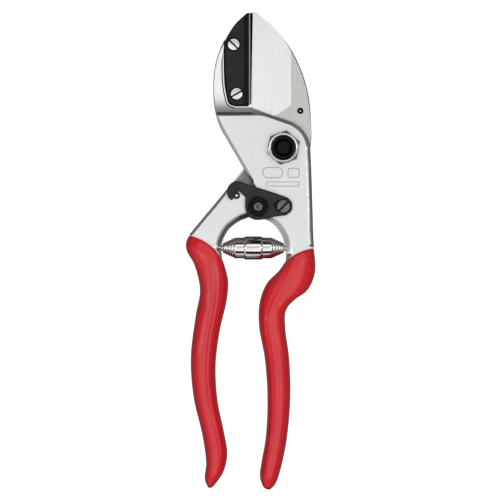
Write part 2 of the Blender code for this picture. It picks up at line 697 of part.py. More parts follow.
# ---- spring ------------------------------------------------------------------------------
def make_spring(mat):
    """A double volute spring as its outer envelope: widest coil in the middle, bored through."""
    half = (SPRING_RIGHT - SPRING_LEFT) / 2
    # (end of the coil from the middle, its radius), one for each coil of one half
    coils = [(4.0, 5.15), (8.6, 4.75), (9.8, 4.2), (11.0, 3.6), (12.2, 3.0), (half, 2.4)]
    side = []
    start = 0.0
    for end, radius in coils:
        side += [(radius, start), (radius, end)]
        start = end
    bore = 1.5
    loop = [(bore, -half)] + [(r, -x) for r, x in reversed(side[1:])] + side[1:] + [(bore, half)]
    spring = turned("volute_spring", loop, mat, (0, 0), 24)
    spring.location = ((SPRING_LEFT + SPRING_RIGHT) / 2 * MM, SPRING_AXIS_Y * MM, MID_PLANE * MM)
    spring.rotation_euler = (0, math.radians(90), 0)


def make_stud(name, seat, tip, mat):
    """A pin along x that holds one end of the spring."""
    stud = turned(name, pin_line(1.2, min(seat, tip), max(seat, tip), 0.3), mat, (0, 0), 16, False)
    stud.location = (0, SPRING_AXIS_Y * MM, MID_PLANE * MM)
    stud.rotation_euler = (0, math.radians(90), 0)


# ---- the whole tool ----------------------------------------------------------------------
def main():
    for obj in list(bpy.data.objects):
        bpy.data.objects.remove(obj)

    aluminium = material("forged_aluminium", (0.72, 0.73, 0.75), 0.38, 1.0)
    blade_steel = material("blade_steel", (0.55, 0.56, 0.58), 0.28, 1.0)
    steel = material("bright_steel", (0.62, 0.63, 0.65), 0.25, 1.0)
    zinc = material("plated_steel", (0.50, 0.51, 0.53), 0.30, 1.0)
    chrome = material("spring_chrome", (0.70, 0.71, 0.72), 0.12, 1.0)
    black = material("black_coating", (0.02, 0.02, 0.022), 0.35)
    vinyl = material("red_vinyl", (0.60, 0.015, 0.025), 0.28)

    anvil_grip = Grip(ANVIL_GRIP_EDGES, ANVIL_GRIP_BOW)
    blade_grip = Grip(BLADE_GRIP_EDGES, BLADE_GRIP_BOW)
    make_anvil_handle(anvil_grip, aluminium)
    make_grip("anvil_handle_grip", anvil_grip, vinyl)
    make_blade_handle(blade_grip, aluminium)
    make_grip("blade_handle_grip", blade_grip, vinyl)
    make_blade(blade_steel)
    make_anvil(black)
    for name, (x, y, slot_angle) in ANVIL_SCREWS.items():
        make_slotted_screw(name, (x, y), slot_angle, 3.6, 10.6, 12.3, 1.5, 2.7, steel)
    make_slotted_blade_screw(steel)
    turned("blade_dowel", pin_line(1.2, 4.5, 10.0), steel, BLADE_DOWEL, 16, False)
    make_pivot(steel, zinc)
    make_catch(black, steel, zinc)
    make_spring(chrome)
    make_stud("spring_stud_left", -28.3, -24.2, steel)
    make_stud("spring_stud_right", 3.5, -1.9, steel)


def make_slotted_blade_screw(mat):
    """The blade's fixing screw, driven from the back of the blade handle."""
    line = [(0, 3.0), (2.6, 3.0), (3.0, 3.35), (3.0, 4.4), (1.5, 4.4), (1.5, 9.7), (1.2, 10.0),
            (0, 10.0)]
    screw = turned("blade_screw", line, mat, BLADE_SCREW, 24, False)
    cut_slot(screw, "blade_screw_slot", BLADE_SCREW, 3.0, 8.0, 0.8, 0.6, 20.0)


main()
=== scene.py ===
"""The looks of the anvil pruner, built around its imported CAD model.

The tool lies on its back on a pale floor and the camera looks straight down on it, with the
blade's tip at the top of the picture. Outlines are in millimetres in the row's own frame and
become metres in the meshes; heights along z come from the CAD nodes.
"""
import math

import bmesh
import bpy
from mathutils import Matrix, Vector


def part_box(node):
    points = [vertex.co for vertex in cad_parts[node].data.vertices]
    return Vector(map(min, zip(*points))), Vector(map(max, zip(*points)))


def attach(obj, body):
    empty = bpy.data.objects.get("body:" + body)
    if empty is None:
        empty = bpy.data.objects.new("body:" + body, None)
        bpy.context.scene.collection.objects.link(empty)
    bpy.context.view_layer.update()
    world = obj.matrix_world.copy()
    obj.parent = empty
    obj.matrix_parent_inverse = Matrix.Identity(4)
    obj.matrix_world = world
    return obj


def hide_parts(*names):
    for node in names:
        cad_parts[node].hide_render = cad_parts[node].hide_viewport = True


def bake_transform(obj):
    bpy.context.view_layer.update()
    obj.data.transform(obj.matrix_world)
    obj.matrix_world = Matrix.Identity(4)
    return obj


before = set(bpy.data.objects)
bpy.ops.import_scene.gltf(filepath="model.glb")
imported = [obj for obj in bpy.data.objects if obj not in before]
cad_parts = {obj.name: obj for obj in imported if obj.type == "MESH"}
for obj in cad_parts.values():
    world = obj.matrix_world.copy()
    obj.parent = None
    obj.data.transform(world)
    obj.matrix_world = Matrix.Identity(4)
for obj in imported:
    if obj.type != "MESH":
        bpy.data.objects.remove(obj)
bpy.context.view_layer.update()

MM = 0.001
FINE = 0.7                 # spacing of the vertices along a smooth outline
CLEARANCE = 0.3
BLANK_STEPS = 7            # rings round a forging's rim
MOUTH_GAP = 0.1            # between an arm and its grip's mouth
SAME_POINT = 0.05          # points of an outline that lie closer count as one
ABOVE = 20.0               # where cutters that come in from the front end
SHARPEST_LEAN = 0.6        # keeps insets at sharp corners short
SCREW_HOLE, SCREW_SIDES = 1.8, 32
DOWEL_HOLE = 1.5
STUD_HOLE = 1.5
PIVOT_HOLE = 2.3
SHARP_ANGLE = 40.0         # sharpest edge that is still shaded smooth on forgings


# ---- places taken from the frame ---------------------------------------------------------
def back_of(node):
    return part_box(node)[0][2] / MM


def front_of(node):
    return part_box(node)[1][2] / MM


def centre_of(node):
    low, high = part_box(node)
    return ((low[0] + high[0]) / 2 / MM, (low[1] + high[1]) / 2 / MM)


ARM_BACK, ARM_FRONT = back_of("anvil_handle"), front_of("anvil_handle")
BLADE_BACK, BLADE_FRONT = back_of("blade"), front_of("blade")
ANVIL_BACK, ANVIL_FRONT = back_of("anvil"), front_of("anvil")
LEVER_BACK, LEVER_FRONT = back_of("catch_lever"), front_of("catch_lever")
NUT_BACK, NUT_FRONT = back_of("pivot_nut"), front_of("pivot_nut")
MID_PLANE = (back_of("anvil_handle_grip") + front_of("anvil_handle_grip")) / 2
HALF_GRIP = MID_PLANE - back_of("anvil_handle_grip")
PLATE_BACK = front_of("friction_washer") + CLEARANCE
RECESS_FLOOR = BLADE_BACK - CLEARANCE
ANVIL_FLOOR = ANVIL_BACK - CLEARANCE
JAW_BACK, JAW_FRONT = 3.2, 12.0
POCKET_LEDGE = 11.2
JAW_SHOULDER, JAW_SHOULDER_END = 14.0, 24.5
LEVER_SEAT = 17.2

BUSH_BORE = 6.8
DISC_RADIUS = 11.6
SWEEP_RADIUS = 13.0
RECESS_RADIUS = 27.2
OPEN_ANGLE = 28.0
ARM_EDGE_OFFSET = 7.9
ARM_EDGE_ANGLE = 51.1

CATCH_PIVOT = centre_of("catch_screw")
KNOB_CENTRE = centre_of("catch_knob_rivet")
CATCH_PIN = centre_of("catch_pin")
BLADE_SCREW = centre_of("blade_screw")
BLADE_DOWEL = centre_of("blade_dowel")
ANVIL_SCREWS = {"anvil_screw_upper": -45.0, "anvil_screw_lower": 30.0}
SPRING_CENTRE = centre_of("volute_spring")


# ---- plane geometry ----------------------------------------------------------------------
def polar(radius, degrees):
    angle = math.radians(degrees)
    return (radius * math.cos(angle), radius * math.sin(angle))


def arc(centre, radius, start, end, step=3.0):
    """Points on a circle from start to end, in degrees."""
    count = max(2, round(abs(end - start) / step))
    points = []
    for i in range(count + 1):
        x, y = polar(radius, start + (end - start) * i / count)
        points.append((centre[0] + x, centre[1] + y))
    return points


def catmull_rom(points, samples=40):
    """A dense smooth line through the given points."""
    pts = [Vector(p) for p in points]
    pts = [2 * pts[0] - pts[1]] + pts + [2 * pts[-1] - pts[-2]]
    dense = []
    for p0, p1, p2, p3 in zip(pts, pts[1:], pts[2:], pts[3:]):
        t1 = (p1 - p0).length ** 0.5
        t2 = t1 + (p2 - p1).length ** 0.5
        t3 = t2 + (p3 - p2).length ** 0.5
        for i in range(samples):
            t = t1 + (t2 - t1) * i / samples
            a1 = p0 * (t1 - t) / t1 + p1 * t / t1
            a2 = p1 * (t2 - t) / (t2 - t1) + p2 * (t - t1) / (t2 - t1)
            a3 = p2 * (t3 - t) / (t3 - t2) + p3 * (t - t2) / (t3 - t2)
            b1 = a1 * (t2 - t) / t2 + a2 * t / t2
            b2 = a2 * (t3 - t) / (t3 - t1) + a3 * (t - t1) / (t3 - t1)
            dense.append(b1 * (t2 - t) / (t2 - t1) + b2 * (t - t1) / (t2 - t1))
    dense.append(pts[-2])
    return dense


def at_fraction(line, fraction):
    """The point at a fraction of a dense line's length."""
    lengths = [(b - a).length for a, b in zip(line, line[1:])]
    target = fraction * sum(lengths)
    for a, b, length in zip(line, line[1:], lengths):
        if target <= length:
            return a.lerp(b, target / length)
        target -= length
    return line[-1].copy()


def curve(points, step=FINE):
    """An evenly spaced smooth curve through the given points."""
    dense = catmull_rom(points)
    length = sum((b - a).length for a, b in zip(dense, dense[1:]))
    count = max(2, round(length / step))
    return [tuple(at_fraction(dense, i / count)) for i in range(count + 1)]


def with_rims(*stretches):
    """A closed outline and the rim at each of its points, from (points, rim) stretches."""
    outline, rims = [], []
    for points, rim in stretches:
        for point in points:
            if not outline or (Vector(point) - Vector(outline[-1])).length > SAME_POINT:
                outline.append(point)
                rims.append(rim)
    if (Vector(outline[0]) - Vector(outline[-1])).length < SAME_POINT:
        outline.pop()
        rims.pop()
    return outline, rims


def chain(*stretches):
    """One closed outline from stretches that follow each other; repeated points are dropped."""
    return with_rims(*((stretch, None) for stretch in stretches))[0]


def inward_normals(outline):
    """For each point its inward normal, and how far that leans from its edges' normals."""
    normals = []
    count = len(outline)
    for i in range(count):
        before, here, after = (Vector(outline[(i + k) % count]) for k in (-1, 0, 1))
        first = (here - before).normalized()
        second = (after - here).normalized()
        normal = Vector((-first.y - second.y, first.x + second.x)).normalized()
        lean = normal.dot(Vector((-first.y, first.x)))
        normals.append((normal, max(SHARPEST_LEAN, lean)))
    return normals


def room_inside(outline, index, normal):
    """Distance from a vertex, along its inward normal, to the other side, and where it is."""
    here = Vector(outline[index])
    count = len(outline)
    nearest, opposite = 100.0, index
    for i in range(count):
        if i in (index, (index - 1) % count):
            continue
        start = Vector(outline[i]) - here
        edge = Vector(outline[(i + 1) % count]) - Vector(outline[i])
        across = normal.cross(edge)
        if abs(across) < 1e-9:
            continue
        distance = start.cross(edge) / across
        position = start.cross(normal) / across
        if 0 < distance < nearest and 0 <= position <= 1:
            nearest, opposite = distance, i
    return nearest, opposite


def rim_reaches(outline, rims):
    """The inset that each vertex's rim may have: less at tight corners and where it is thin."""
    count = len(outline)
    reaches = []
    for i, (normal, lean) in enumerate(inward_normals(outline)):
        here = Vector(outline[i])
        before = here - Vector(outline[i - 1])
        after = Vector(outline[(i + 1) % count]) - here
        reach = rims[i][0] / lean
        along_edge = abs(normal.dot(before.normalized()))
        if before.cross(after) > 0 and along_edge > 0.01:
            reach = min(reach, 0.45 * min(before.length, after.length) / along_edge)
        # two rims that face each other share the room between them
        room, opposite = room_inside(outline, i, normal)
        share = 0.9 * rims[i][0] / (rims[i][0] + rims[opposite][0])
        reaches.append(min(reach, share * room))
    # neighbours share what a corner allows, so that the rim narrows smoothly towards it
    for _ in range(2):
        reaches = [min(reaches[i], (reaches[i - 1] + reaches[i] + reaches[(i + 1) % count]) / 2.6)
                   for i in range(count)]
    return reaches


# ---- meshes and objects ------------------------------------------------------------------
def join_rings(bm, rings, closed=False):
    """Quads between rings of equal length, and from the last ring to the first if closed."""
    pairs = list(zip(rings, rings[1:]))
    if closed:
        pairs.append((rings[-1], rings[0]))
    for lower, upper in pairs:
        count = len(lower)
        for i in range(count):
            j = (i + 1) % count
            bm.faces.new((lower[i], lower[j], upper[j], upper[i]))


def layered_mesh(levels, closed=False):
    """A solid through (outline, z) levels, or a ring whose last level meets its first."""
    bm = bmesh.new()
    rings = [[bm.verts.new((x * MM, y * MM, z * MM)) for x, y in outline] for outline, z in levels]
    join_rings(bm, rings, closed)
    if not closed:
        bm.faces.new(reversed(rings[0]))
        bm.faces.new(rings[-1])
    return bm


def prism_mesh(outline, back, front):
    return layered_mesh([(outline, back), (outline, front)])


def rounded_mesh(outline, rim, back, front, steps):
    """A prism with rounded rims; rim is one radius, or (width, height, fullness) for each point.

    A fullness of 1 makes the rim a quarter ellipse and a smaller one brings it near a chamfer.
    """
    rims = rim if isinstance(rim, list) else [(rim, rim, 1.0)] * len(outline)
    corners = []
    for point, (normal, lean), reach, (wide, tall, fullness) in zip(
            outline, inward_normals(outline), rim_reaches(outline, rims), rims):
        corners.append((point, normal * reach, min(tall, reach * tall / wide), 1 / fullness))
    quarter = [math.radians(90.0 * i / steps) for i in range(steps + 1)]
    levels = [(angle, False) for angle in reversed(quarter)] + [(angle, True) for angle in quarter]
    bm = bmesh.new()
    rings = []
    for angle, upper in levels:
        ring = []
        cosine, sine = max(0.0, math.cos(angle)), math.sin(angle)
        for (x, y), inset, height, power in corners:
            part = 1 - cosine ** power
            down = height * (1 - sine ** power)
            z = front - down if upper else back + down
            ring.append(bm.verts.new(((x + inset.x * part) * MM, (y + inset.y * part) * MM, z * MM)))
        rings.append(ring)
    join_rings(bm, rings)
    bm.faces.new(reversed(rings[0]))
    bm.faces.new(rings[-1])
    return bm


def lathe_mesh(loop, segments, through=True, radius_limit=None):
    """A turned solid about z from (radius, z) points: a closed loop, or a line between poles."""
    bm = bmesh.new()
    rings = []
    for radius, z in loop:
        if radius == 0:
            rings.append([bm.verts.new((0, 0, z * MM))])
            continue
        ring = []
        for i in range(segments):
            angle = 360.0 * i / segments
            reach = radius if radius_limit is None else min(radius, radius_limit(angle, radius))
            x, y = polar(reach * MM, angle)
            ring.append(bm.verts.new((x, y, z * MM)))
        rings.append(ring)
    if through:
        join_rings(bm, rings, closed=True)
        return bm
    join_rings(bm, rings[1:-1])
    for pole, ring in ((rings[0][0], rings[1]), (rings[-1][0], rings[-2])):
        for i in range(segments):
            bm.faces.new((pole, ring[i], ring[(i + 1) % segments]))
    return bm


def add_object(name, bm, mat=None, smooth_angle=30.0):
    bmesh.ops.recalc_face_normals(bm, faces=bm.faces)
    bmesh.ops.triangulate(bm, faces=[face for face in bm.faces if len(face.verts) > 4])
    mesh = bpy.data.meshes.new(name)
    bm.to_mesh(mesh)
    bm.free()
    smooth(mesh, smooth_angle)
    obj = bpy.data.objects.new(name, mesh)
    bpy.context.scene.collection.objects.link(obj)
    if mat:
        mesh.materials.append(mat)
    return obj


def smooth(mesh, angle):
    mesh.shade_smooth()
    mesh.set_sharp_from_angle(angle=math.radians(angle))


def moved(bm, at):
    """The mesh moved in plan by millimetres."""
    bmesh.ops.translate(bm, verts=bm.verts, vec=(at[0] * MM, at[1] * MM, 0.0))
    return bm


def turned(name, loop, mat, at=(0, 0), segments=64, through=True, limit=None, smooth_angle=30.0):
    return add_object(name, moved(lathe_mesh(loop, segments, through, limit), at), mat, smooth_angle)


def disc_mesh(at, radius, back, front, segments=48):
    loop = [(0, back), (radius, back), (radius, front), (0, front)]
    return moved(lathe_mesh(loop, segments, through=False), at)


def bar_mesh(at, length, width, back, front, degrees):
    """A straight bar, such as a screwdriver slot."""
    ux, uy = polar(length / 2, degrees)
    vx, vy = polar(width / 2, degrees + 90)
    corners = [(ux + vx, uy + vy), (-ux + vx, -uy + vy), (-ux - vx, -uy - vy), (ux - vx, uy - vy)]
    return prism_mesh([(at[0] + x, at[1] + y) for x, y in corners], back, front)


def stud_hole_mesh(start, end):
    """A round hole along x for one of the spring's studs."""
    bm = lathe_mesh([(0, start), (STUD_HOLE, start), (STUD_HOLE, end), (0, end)], 32, False)
    for vert in bm.verts:
        vert.co = Vector((vert.co.z, vert.co.y + SPRING_CENTRE[1] * MM, vert.co.x + MID_PLANE * MM))
    return bm


def carve(obj, tools, smooth_angle=30.0):
    """Cuts all the tools from the object and keeps the result as its mesh."""
    group = bpy.data.collections.new(f"{obj.name}_tools")
    bpy.context.scene.collection.children.link(group)
    helpers = []
    for i, bm in enumerate(tools):
        tool = add_object(f"{obj.name}_tool_{i}", bm)
        bpy.context.scene.collection.objects.unlink(tool)
        group.objects.link(tool)
        helpers.append(tool)
    modifier = obj.modifiers.new("carve", "BOOLEAN")
    modifier.operation = "DIFFERENCE"
    modifier.solver = "EXACT"
    modifier.operand_type = "COLLECTION"
    modifier.collection = group
    settle(obj, smooth_angle)
    for tool in helpers:
        bpy.data.objects.remove(tool)
    bpy.data.collections.remove(group)
    return obj


def settle(obj, smooth_angle):
    """Applies the object's modifiers to its mesh."""
    bpy.context.view_layer.update()
    depsgraph = bpy.context.evaluated_depsgraph_get()
    mesh = bpy.data.meshes.new_from_object(obj.evaluated_get(depsgraph))
    obj.modifiers.clear()
    obj.data = mesh
    smooth(mesh, smooth_angle)


def paint_shade(obj, chosen):
    """Paints shade: the faces whose centres are chosen get a near-black colour, as where a slot or gap
    lies in shadow.
    """
    obj.data.materials.append(SHADE_AND_KNOB_BLACK)
    for polygon in obj.data.polygons:
        if chosen(polygon.center):
            polygon.material_index = len(obj.data.materials) - 1


def flat_normals(obj):
    """Keeps the large flat faces flat where they meet smooth rims."""
    modifier = obj.modifiers.new("flat_faces", "WEIGHTED_NORMAL")
    modifier.keep_sharp = True
    modifier.weight = 80


def place(piece, body, slot, *nodes):
    """The piece rides on a body and stands for CAD nodes."""
    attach(piece, body)
    if nodes:
        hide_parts(*nodes)
    return piece


# ---- materials ---------------------------------------------------------------------------
def add_node(tree, kind, inputs, **settings):
    """A new shader node whose inputs are values, or linked to the outputs that are given."""
    node = tree.nodes.new("ShaderNode" + kind)
    for name, value in settings.items():
        setattr(node, name, value)
    for name, value in inputs.items():
        if isinstance(value, bpy.types.NodeSocket):
            tree.links.new(value, node.inputs[name])
        else:
            node.inputs[name].default_value = value
    return node


class Finish:
    """A Principled material and short ways to add nodes to it."""

    def __init__(self, name, colour, roughness, metallic=0.0, **sockets):
        self.material = bpy.data.materials.new(name)
        self.material.use_nodes = True
        self.tree = self.material.node_tree
        self.shader = self.tree.nodes["Principled BSDF"]
        self.shader.inputs["Base Color"].default_value = (*colour, 1)
        self.shader.inputs["Roughness"].default_value = roughness
        self.shader.inputs["Metallic"].default_value = metallic
        for socket, value in sockets.items():
            self.shader.inputs[socket.replace("_", " ")].default_value = value
        self.colour = colour
        self.place = add_node(self.tree, "TexCoord", {}).outputs["Object"]

    def feed(self, name, socket):
        """Links a socket to one of the shader's inputs."""
        self.tree.links.new(socket, self.shader.inputs[name])

    def noise(self, scale, detail=3.0, stretch=(1, 1, 1), roughness=0.5):
        """Noise with features of about 1/scale metres, stretched along an axis."""
        mapping = add_node(self.tree, "Mapping", {"Scale": stretch, "Vector": self.place})
        inputs = {"Scale": scale, "Detail": detail, "Roughness": roughness,
                  "Vector": mapping.outputs["Vector"]}
        return add_node(self.tree, "TexNoise", inputs).outputs["Fac"]

    def spread(self, value, low, high, from_low=0.3, from_high=0.7):
        """The value mapped from a band of the noise to low..high."""
        inputs = {"From Min": from_low, "From Max": from_high, "To Min": low, "To Max": high,
                  "Value": value}
        return add_node(self.tree, "MapRange", inputs).outputs["Result"]

    def tint(self, value, dark, light):
        """Base colour between two tints of the finish's colour."""
        ramp = add_node(self.tree, "ValToRGB", {"Fac": value})
        ramp.color_ramp.elements[0].position = 0.3
        ramp.color_ramp.elements[1].position = 0.7
        for element, shade in zip(ramp.color_ramp.elements, (dark, light)):
            element.color = (*(min(1.0, channel * shade) for channel in self.colour), 1)
        self.feed("Base Color", ramp.outputs["Color"])

    def painted_light_beyond(self, start, end, factor):
        """Painted light: base colour brighter by a factor where y lies beyond the given place."""
        split = add_node(self.tree, "SeparateXYZ", {0: self.place})
        lift = self.spread(split.outputs["Y"], 1.0, factor, start, end)
        colour = self.shader.inputs["Base Color"].links[0].from_socket
        scale = add_node(self.tree, "VectorMath", {0: colour, "Scale": lift}, operation="SCALE")
        self.feed("Base Color", scale.outputs["Vector"])

    def rough(self, value, low, high):
        self.feed("Roughness", self.spread(value, low, high))

    def bumps(self, *layers):
        """Bump layers of (noise, height in metres)."""
        inputs = {"Strength": 1.0}
        for value, height in layers:
            bump = add_node(self.tree, "Bump", {**inputs, "Distance": height, "Height": value})
            inputs["Normal"] = bump.outputs["Normal"]
        self.feed("Normal", inputs["Normal"])


def forged_aluminium():
    """Blasted and tumbled forging: fine grains with a soft, slightly uneven sheen."""
    finish = Finish("forged_aluminium", (0.84, 0.84, 0.835), 0.34, 1.0)
    grain = finish.noise(2600, 4, roughness=0.65)
    clouds = finish.noise(90, 3)
    finish.tint(clouds, 0.97, 1.03)
    # painted light: the jaw, from y = 19.5 mm on, is made up to 1.2 times brighter in colour than the rest
    # of the forging
    finish.painted_light_beyond(0.0195, 0.0225, 1.20)
    finish.rough(grain, 0.30, 0.44)
    finish.bumps((grain, 0.000012), (finish.noise(420, 2), 0.000012))
    return finish.material


def buffed_shaded_rim():
    """The forgings' rims: ground and buffed, so they mirror their surroundings more sharply; their darker
    colour is painted shade.
    """
    finish = Finish("buffed_rim_with_shade", (0.66, 0.66, 0.655), 0.18, 1.0)
    grain = finish.noise(1800, 3)
    finish.tint(finish.noise(200, 3), 0.96, 1.03)
    finish.rough(grain, 0.14, 0.22)
    finish.bumps((grain, 0.000004))
    return finish.material


def brushed_steel():
    """The blade's flat: ground lengthwise, with scratches of uneven depth."""
    finish = Finish("brushed_steel", (0.66, 0.65, 0.63), 0.30, 1.0, Anisotropic=0.35)
    scratches = finish.noise(5200, 3, (1.0, 0.035, 1.0), 0.6)
    broad = finish.noise(2400, 3, (1.0, 0.02, 1.0))
    finish.tint(broad, 0.93, 1.05)
    finish.rough(scratches, 0.24, 0.42)
    finish.bumps((scratches, 0.000006), (broad, 0.000008))
    return finish.material


def polished_bevel():
    """The blade's hollow ground bevel: brighter, with the finest grinding lines."""
    finish = Finish("polished_bevel", (0.90, 0.90, 0.895), 0.22, 1.0)
    lines = finish.noise(5000, 2, (1.0, 0.03, 1.0))
    finish.tint(finish.noise(120, 2, (1.0, 0.3, 1.0)), 0.97, 1.02)
    finish.rough(lines, 0.18, 0.28)
    finish.bumps((lines, 0.0000025))
    return finish.material


def plain_steel(name, colour, low, high, scale=1800, height=0.000004):
    """Turned or plated steel with small marks."""
    finish = Finish(name, colour, (low + high) / 2, 1.0)
    marks = finish.noise(scale, 4, roughness=0.6)
    finish.tint(finish.noise(350, 3), 0.88, 1.08)
    finish.rough(marks, low, high)
    finish.bumps((marks, height))
    return finish.material


def black_coat(name, colour, low, high, gloss):
    """Baked black coating with a fine tooth."""
    finish = Finish(name, colour, (low + high) / 2, 0.0, Specular_IOR_Level=gloss)
    tooth = finish.noise(3200, 3, roughness=0.6)
    finish.tint(finish.noise(260, 3), 0.8, 1.3)
    finish.rough(tooth, low, high)
    finish.bumps((tooth, 0.00001), (finish.noise(500, 2), 0.00001))
    return finish.material


def red_vinyl():
    """Dipped vinyl: glossy, with the slow waviness of a dipped skin."""
    finish = Finish("red_vinyl", (0.62, 0.011, 0.020), 0.34, 0.0, Specular_IOR_Level=0.32, Coat_Weight=0.3,
                    Coat_Roughness=0.10)
    waves = finish.noise(70, 2, (1.0, 0.5, 1.0))
    finish.tint(finish.noise(45, 3), 0.94, 1.06)
    finish.rough(finish.noise(60, 2), 0.27, 0.34)
    finish.bumps((waves, 0.00006))
    return finish.material


ALUMINIUM = forged_aluminium()
SHADED_RIM = buffed_shaded_rim()
BRUSHED = brushed_steel()
BEVEL = polished_bevel()
BRIGHT = plain_steel("bright_steel", (0.80, 0.80, 0.79), 0.18, 0.34)
BARE = plain_steel("bare_anvil_face", (0.30, 0.30, 0.295), 0.25, 0.40)
PLATED = plain_steel("plated_steel", (0.66, 0.65, 0.63), 0.14, 0.28)
DARK = plain_steel("blackened_steel", (0.014, 0.014, 0.014), 0.24, 0.40)
SCREW_GREY = plain_steel("grey_screw", (0.17, 0.17, 0.165), 0.22, 0.40)
CHROME = plain_steel("spring_chrome", (0.90, 0.89, 0.87), 0.03, 0.07, 700, 0.000001)
BLACK = black_coat("black_coating", (0.010, 0.010, 0.0095), 0.34, 0.48, 0.22)
BLACK_LEVER = black_coat("black_catch", (0.020, 0.020, 0.0195), 0.34, 0.5, 0.2)
GROOVE = plain_steel("groove_shade", (0.38, 0.38, 0.37), 0.35, 0.55)
# painted shade: the blade's tail, seen in the recess under the front plate, gets this darker steel colour
SHADED_TAIL = plain_steel("shaded_tail", (0.30, 0.29, 0.27), 0.34, 0.5, 500)
# painted shade: a near-black for slots, holes, gaps and recesses where shade falls; it is also the knurled
# knob's own black
SHADE_AND_KNOB_BLACK = black_coat("painted_shade_knob_black", (0.008, 0.008, 0.008), 0.6, 0.8, 0.1)
VINYL = red_vinyl()


# ---- the forged handles ------------------------------------------------------------------
BLADE_GRIP_EDGES = (
    [(-41.3, -38.2), (-42.7, -41.8), (-42.1, -45.6), (-39.2, -50.6), (-36.5, -62.0),
     (-38.4, -73.6), (-40.5, -91.6), (-39.3, -109.1), (-35.4, -126.0), (-33.8, -138.0),
     (-34.4, -145.1), (-33.0, -148.8)],
    [(-26.0, -50.4), (-24.2, -57.4), (-24.6, -66.0), (-27.7, -79.7), (-29.6, -95.0),
     (-28.8, -110.5), (-25.9, -124.8), (-24.5, -133.8), (-26.0, -141.5), (-30.0, -147.6),
     (-31.4, -148.9)],
)
ANVIL_GRIP_EDGES = (
    [(1.2, -49.4), (-1.8, -53.7), (-7.2, -59.3), (-10.3, -67.6), (-10.6, -77.6), (-8.0, -93.0),
     (-6.9, -110.0), (-7.7, -127.0), (-9.6, -138.1), (-10.2, -144.0), (-8.6, -148.7),
     (-7.2, -149.6)],
    [(13.5, -43.8), (14.1, -53.5), (12.5, -59.2), (10.0, -63.0), (5.2, -66.4), (1.3, -71.0),
     (0.9, -78.6), (2.6, -92.0), (3.1, -110.0), (1.5, -128.0), (-1.2, -141.0), (-3.4, -147.2),
     (-5.6, -149.6)],
)
BLADE_GRIP_BOW = 2.2
ANVIL_GRIP_BOW = 0.8
GRIP_WALL = 1.6
GRIP_POWER = 2.5
TANG_POWER = 3.0
TANG_HALF_HEIGHT = 5.6


class Grip:
    """A dipped sleeve: its sections run between two silhouette lines."""

    def __init__(self, edges, bow):
        self.low, self.high = (catmull_rom(edge) for edge in edges)
        self.bow = bow

    def section(self, t):
        """Centre, half width, unit vector across, and unit vector towards the mouth."""
        low, high = at_fraction(self.low, t), at_fraction(self.high, t)
        across = (high - low).normalized()
        return (low + high) / 2, (high - low).length / 2, across, Vector((-across.y, across.x))

    def mouth(self, lift, end=1.0):
        """The mouth's line in plan from the low side on, moved along the handle by lift."""
        count = 18
        centre, half, across, along = self.section(0.0)
        line = []
        for i in range(count + 1):
            u = (1 + end) * i / count - 1
            line.append(tuple(centre + across * half * u + along * (lift + self.bow * (1 - u * u))))
        return line

    def ring(self, bm, t, inset, half_height, power, segments, relief=None):
        """One ring of vertices of the section at t; relief(t, u) is added to its front and back."""
        centre, half, across, along = self.section(t)
        bow = self.bow * max(0.0, 1 - t / 0.15)
        ring = []
        for i in range(segments):
            angle = 2 * math.pi * i / segments
            cosine, sine = math.cos(angle), math.sin(angle)
            u = math.copysign(abs(cosine) ** (2 / power), cosine) * (half - inset)
            v = math.copysign(abs(sine) ** (2 / power), sine) * half_height
            if relief:
                v *= 1 - relief(t, u / half)
            flat = centre + across * u + along * bow * (1 - (u / half) ** 2)
            ring.append(bm.verts.new((flat.x * MM, flat.y * MM, (MID_PLANE + v) * MM)))
        return ring


ANVIL_GRIP = Grip(ANVIL_GRIP_EDGES, ANVIL_GRIP_BOW)
BLADE_GRIP = Grip(BLADE_GRIP_EDGES, BLADE_GRIP_BOW)


def tang(name, grip, body):
    """The forging's tongue inside the grip."""
    bm = bmesh.new()
    rings = []
    for i in range(25):
        t = 0.01 + 0.79 * i / 24
        rings.append(grip.ring(bm, t, GRIP_WALL + CLEARANCE, TANG_HALF_HEIGHT, TANG_POWER, 32))
    join_rings(bm, rings)
    bm.faces.new(rings[0])
    bm.faces.new(rings[-1])
    place(add_object(name, bm, ALUMINIUM), body, "forged_aluminium")


def jaw_drop(y):
    """How much the concave shoulder has lowered the front face at y, from 0 to 1."""
    s = min(1.0, max(0.0, (y - JAW_SHOULDER) / (JAW_SHOULDER_END - JAW_SHOULDER)))
    return 1 - (1 - s) ** 2


BROAD_BEVEL = (3.0, 1.3, 0.60)     # the rim of the round opening between the handles


